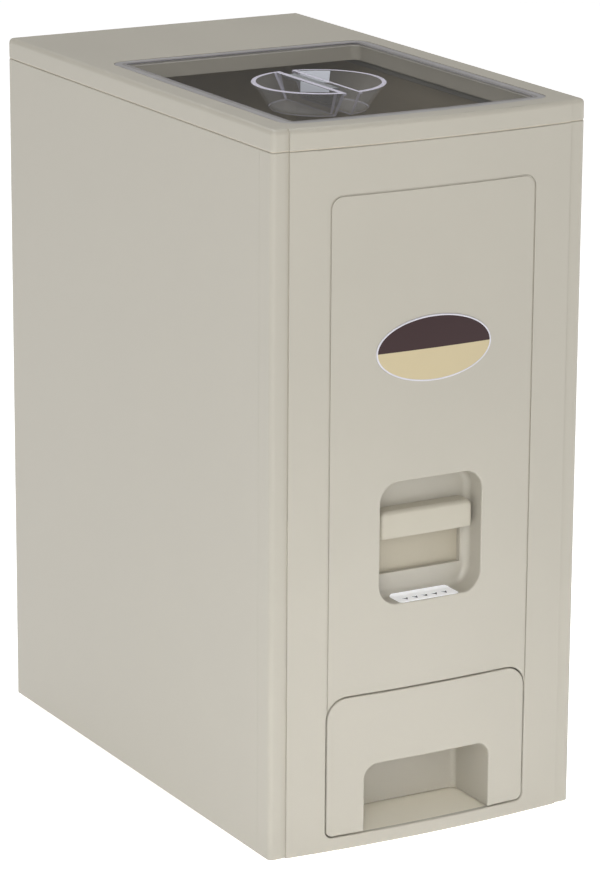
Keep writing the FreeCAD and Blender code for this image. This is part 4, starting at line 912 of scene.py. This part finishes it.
# pan-head screws with a cross recess, in place of the plain ones
screwLook = {
    "headRadius": 0.0029,
    "crownRadius": 0.0022,
    "headHeight": 0.0018,
    "shankRadius": 0.0015,
    "recessLength": 0.0030,
    "recessWidth": 0.0007,
    "recessDepth": 0.0010,
    "sides": 24,
    "pastCrown": 0.0003,  # points this far outside the crown's radius are the head's
}
screwSets = {
    # node: piece and the body that it rides on
    "base_screws": ("baseScrewSet", "cabinet"),
    "rear_screws": ("rearScrewSet", "cabinet"),
    "housing_screws": ("housingScrewSet", "cabinet"),
    "guide_screws": ("guideScrewSet", "cabinet"),
    "knob_screws": ("knobScrewSet", "lever"),
    "drawer_screws": ("drawerScrewSet", "drawer"),
}


def makeScrewTree():
    numbers = ["Head Radius", "Crown Radius", "Head Height", "Shank Radius", "Length", "Recess Length",
               "Recess Width", "Recess Depth"]
    others = [("Sides", "NodeSocketInt"), ("Finish", "NodeSocketMaterial")]
    tree, start, end = newNodeTree("crossHeadScrew", numbers, others)
    head = addNode(tree, "GeometryNodeMeshCone", {
        "Vertices": start["Sides"], "Radius Top": start["Crown Radius"],
        "Radius Bottom": start["Head Radius"], "Depth": start["Head Height"]}).outputs["Mesh"]
    # two crossed slabs, half of them above the head, cut the recess
    cut = addNode(tree, "GeometryNodeMeshBoolean", {"Mesh 1": head}, operation="DIFFERENCE")
    tall = calc(tree, "MULTIPLY", start["Recess Depth"], 2.0)
    for wide, deep in (("Recess Length", "Recess Width"), ("Recess Width", "Recess Length")):
        size = vectorOf(tree, X=start[wide], Y=start[deep], Z=tall)
        slab = addNode(tree, "GeometryNodeMeshCube", {"Size": size}).outputs["Mesh"]
        tree.links.new(shifted(tree, slab, vectorOf(tree, Z=start["Head Height"])), cut.inputs["Mesh 2"])
    shank = addNode(tree, "GeometryNodeMeshCylinder", {
        "Vertices": start["Sides"], "Radius": start["Shank Radius"],
        "Depth": start["Length"]}).outputs["Mesh"]
    lowered = shifted(tree, shank, vectorOf(tree, Z=calc(tree, "MULTIPLY", start["Length"], -0.5)))
    whole = addNode(tree, "GeometryNodeJoinGeometry", {})
    tree.links.new(cut.outputs["Mesh"], whole.inputs[0])
    tree.links.new(lowered, whole.inputs[0])
    way = addNode(tree, "GeometryNodeInputNamedAttribute", {"Name": "outward"}, data_type="FLOAT_VECTOR")
    turn = addNode(tree, "FunctionNodeAlignRotationToVector", {"Vector": way.outputs[0]}, axis="Z").outputs[0]
    spread = addNode(tree, "GeometryNodeInstanceOnPoints", {
        "Points": start["Geometry"], "Instance": whole.outputs[0], "Rotation": turn}).outputs[0]
    finishTree(tree, spread, start["Finish"], end)
    return tree


def looseParts(node):
    # the corner points of each separate solid of a node
    build = bmesh.new()
    build.from_mesh(nodes[node].data)
    bmesh.ops.remove_doubles(build, verts=build.verts, dist=mergeWithin)
    left = set(build.verts)
    parts = []
    while left:
        part, waiting = set(), [next(iter(left))]
        while waiting:
            vert = waiting.pop()
            if vert not in part:
                part.add(vert)
                waiting += [edge.other_vert(vert) for edge in vert.link_edges]
        left -= part
        parts.append([vert.co.copy() for vert in part])
    build.free()
    return parts


def screwPlaces(node):
    # seat, outward way and shank length of each screw, in the order of their middles to 0.01 mm
    def middleOf(points):
        return tuple(round(sum(point[k] for point in points) / len(points), 5) for k in range(3))

    places = []
    for points in sorted(looseParts(node), key=middleOf):
        low = Vector([min(point[k] for point in points) for k in range(3)])
        high = Vector([max(point[k] for point in points) for k in range(3)])
        middle, size = (low + high) / 2, high - low
        along = max(range(3), key=lambda k: size[k])
        across = [k for k in range(3) if k != along]
        wide = screwLook["crownRadius"] + screwLook["pastCrown"]
        head = []
        for point in points:
            if math.hypot(*[point[k] - middle[k] for k in across]) > wide:
                head.append(point[along])
        outward = 1 if sum(head) / len(head) > middle[along] else -1
        way = Vector([outward if k == along else 0 for k in range(3)])
        seat = middle + way * (size[along] / 2 - screwLook["headHeight"])
        places.append((seat, way, size[along] - screwLook["headHeight"]))
    return places


def addScrews():
    tree = makeScrewTree()
    for node, (name, body) in screwSets.items():
        places = screwPlaces(node)
        seed = bpy.data.meshes.new(name)
        seed.from_pydata([seat for seat, _, _ in places], [], [])
        ways = seed.attributes.new("outward", "FLOAT_VECTOR", "POINT")
        for index, (_, way, _) in enumerate(places):
            ways.data[index].vector = way
        piece = meshFromTree(name, seed, tree, {
            "Head Radius": screwLook["headRadius"], "Crown Radius": screwLook["crownRadius"],
            "Head Height": screwLook["headHeight"], "Shank Radius": screwLook["shankRadius"],
            "Length": places[0][2], "Recess Length": screwLook["recessLength"],
            "Recess Width": screwLook["recessWidth"], "Recess Depth": screwLook["recessDepth"],
            "Sides": screwLook["sides"], "Finish": materials["brightSteel"]})
        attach(piece, body)
        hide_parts(node)


addScrews()
print("screws made")


# compression spring with closed ends
spring = {
    "x": -0.078,
    "y": -0.140,
    "foot": 0.0973,
    "top": 0.1967,
    "radius": 0.0052,
    "wire": 0.0012,
    "turns": 11.0,
    "endClose": 0.85,  # how far the pitch closes up towards the ends
    "stepsPerTurn": 24,
    "wireSides": 8,
    "travel": 0.023,  # the lever's
}


def makeSpringTree():
    numbers = ["Coil Radius", "Wire Radius", "Turns", "Height", "End Close"]
    others = [("Steps", "NodeSocketInt"), ("Wire Sides", "NodeSocketInt"), ("Foot", "NodeSocketVector"),
              ("Finish", "NodeSocketMaterial")]
    tree, start, end = newNodeTree("coilSpring", numbers, others)
    coil = addNode(tree, "GeometryNodeCurveSpiral", {
        "Resolution": start["Steps"], "Rotations": start["Turns"], "Start Radius": start["Coil Radius"],
        "End Radius": start["Coil Radius"], "Height": start["Height"]}).outputs[0]
    # one sine wave over the height draws the end turns together
    along = addNode(tree, "GeometryNodeSplineParameter", {}).outputs["Factor"]
    wave = calc(tree, "SINE", calc(tree, "MULTIPLY", along, 2 * math.pi))
    reach = calc(tree, "MULTIPLY", start["Height"], start["End Close"])
    swing = calc(tree, "MULTIPLY", reach, -0.5 / math.pi)
    shift = vectorOf(tree, Z=calc(tree, "MULTIPLY", wave, swing))
    closed = addNode(tree, "GeometryNodeSetPosition", {"Geometry": coil, "Offset": shift}).outputs[0]
    ring = addNode(tree, "GeometryNodeCurvePrimitiveCircle", {
        "Resolution": start["Wire Sides"], "Radius": start["Wire Radius"]}).outputs[0]
    wire = addNode(tree, "GeometryNodeCurveToMesh", {
        "Curve": closed, "Profile Curve": ring, "Fill Caps": True}).outputs[0]
    finishTree(tree, shifted(tree, wire, start["Foot"]), start["Finish"], end)
    return tree


def addSpring():
    seed = bpy.data.meshes.new("liftSpring")
    height = spring["top"] - spring["foot"] - spring["wire"]
    firstTurn = (spring["x"], spring["y"], spring["foot"] + spring["wire"] / 2)
    piece = meshFromTree("liftSpring", seed, makeSpringTree(), {
        "Coil Radius": spring["radius"], "Wire Radius": spring["wire"] / 2, "Turns": spring["turns"],
        "Height": height, "End Close": spring["endClose"], "Steps": spring["stepsPerTurn"],
        "Wire Sides": spring["wireSides"], "Foot": firstTurn, "Finish": materials["brightSteel"]})
    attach(piece, "cabinet")
    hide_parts("return_spring")
    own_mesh(piece)


addSpring()
print("spring made")
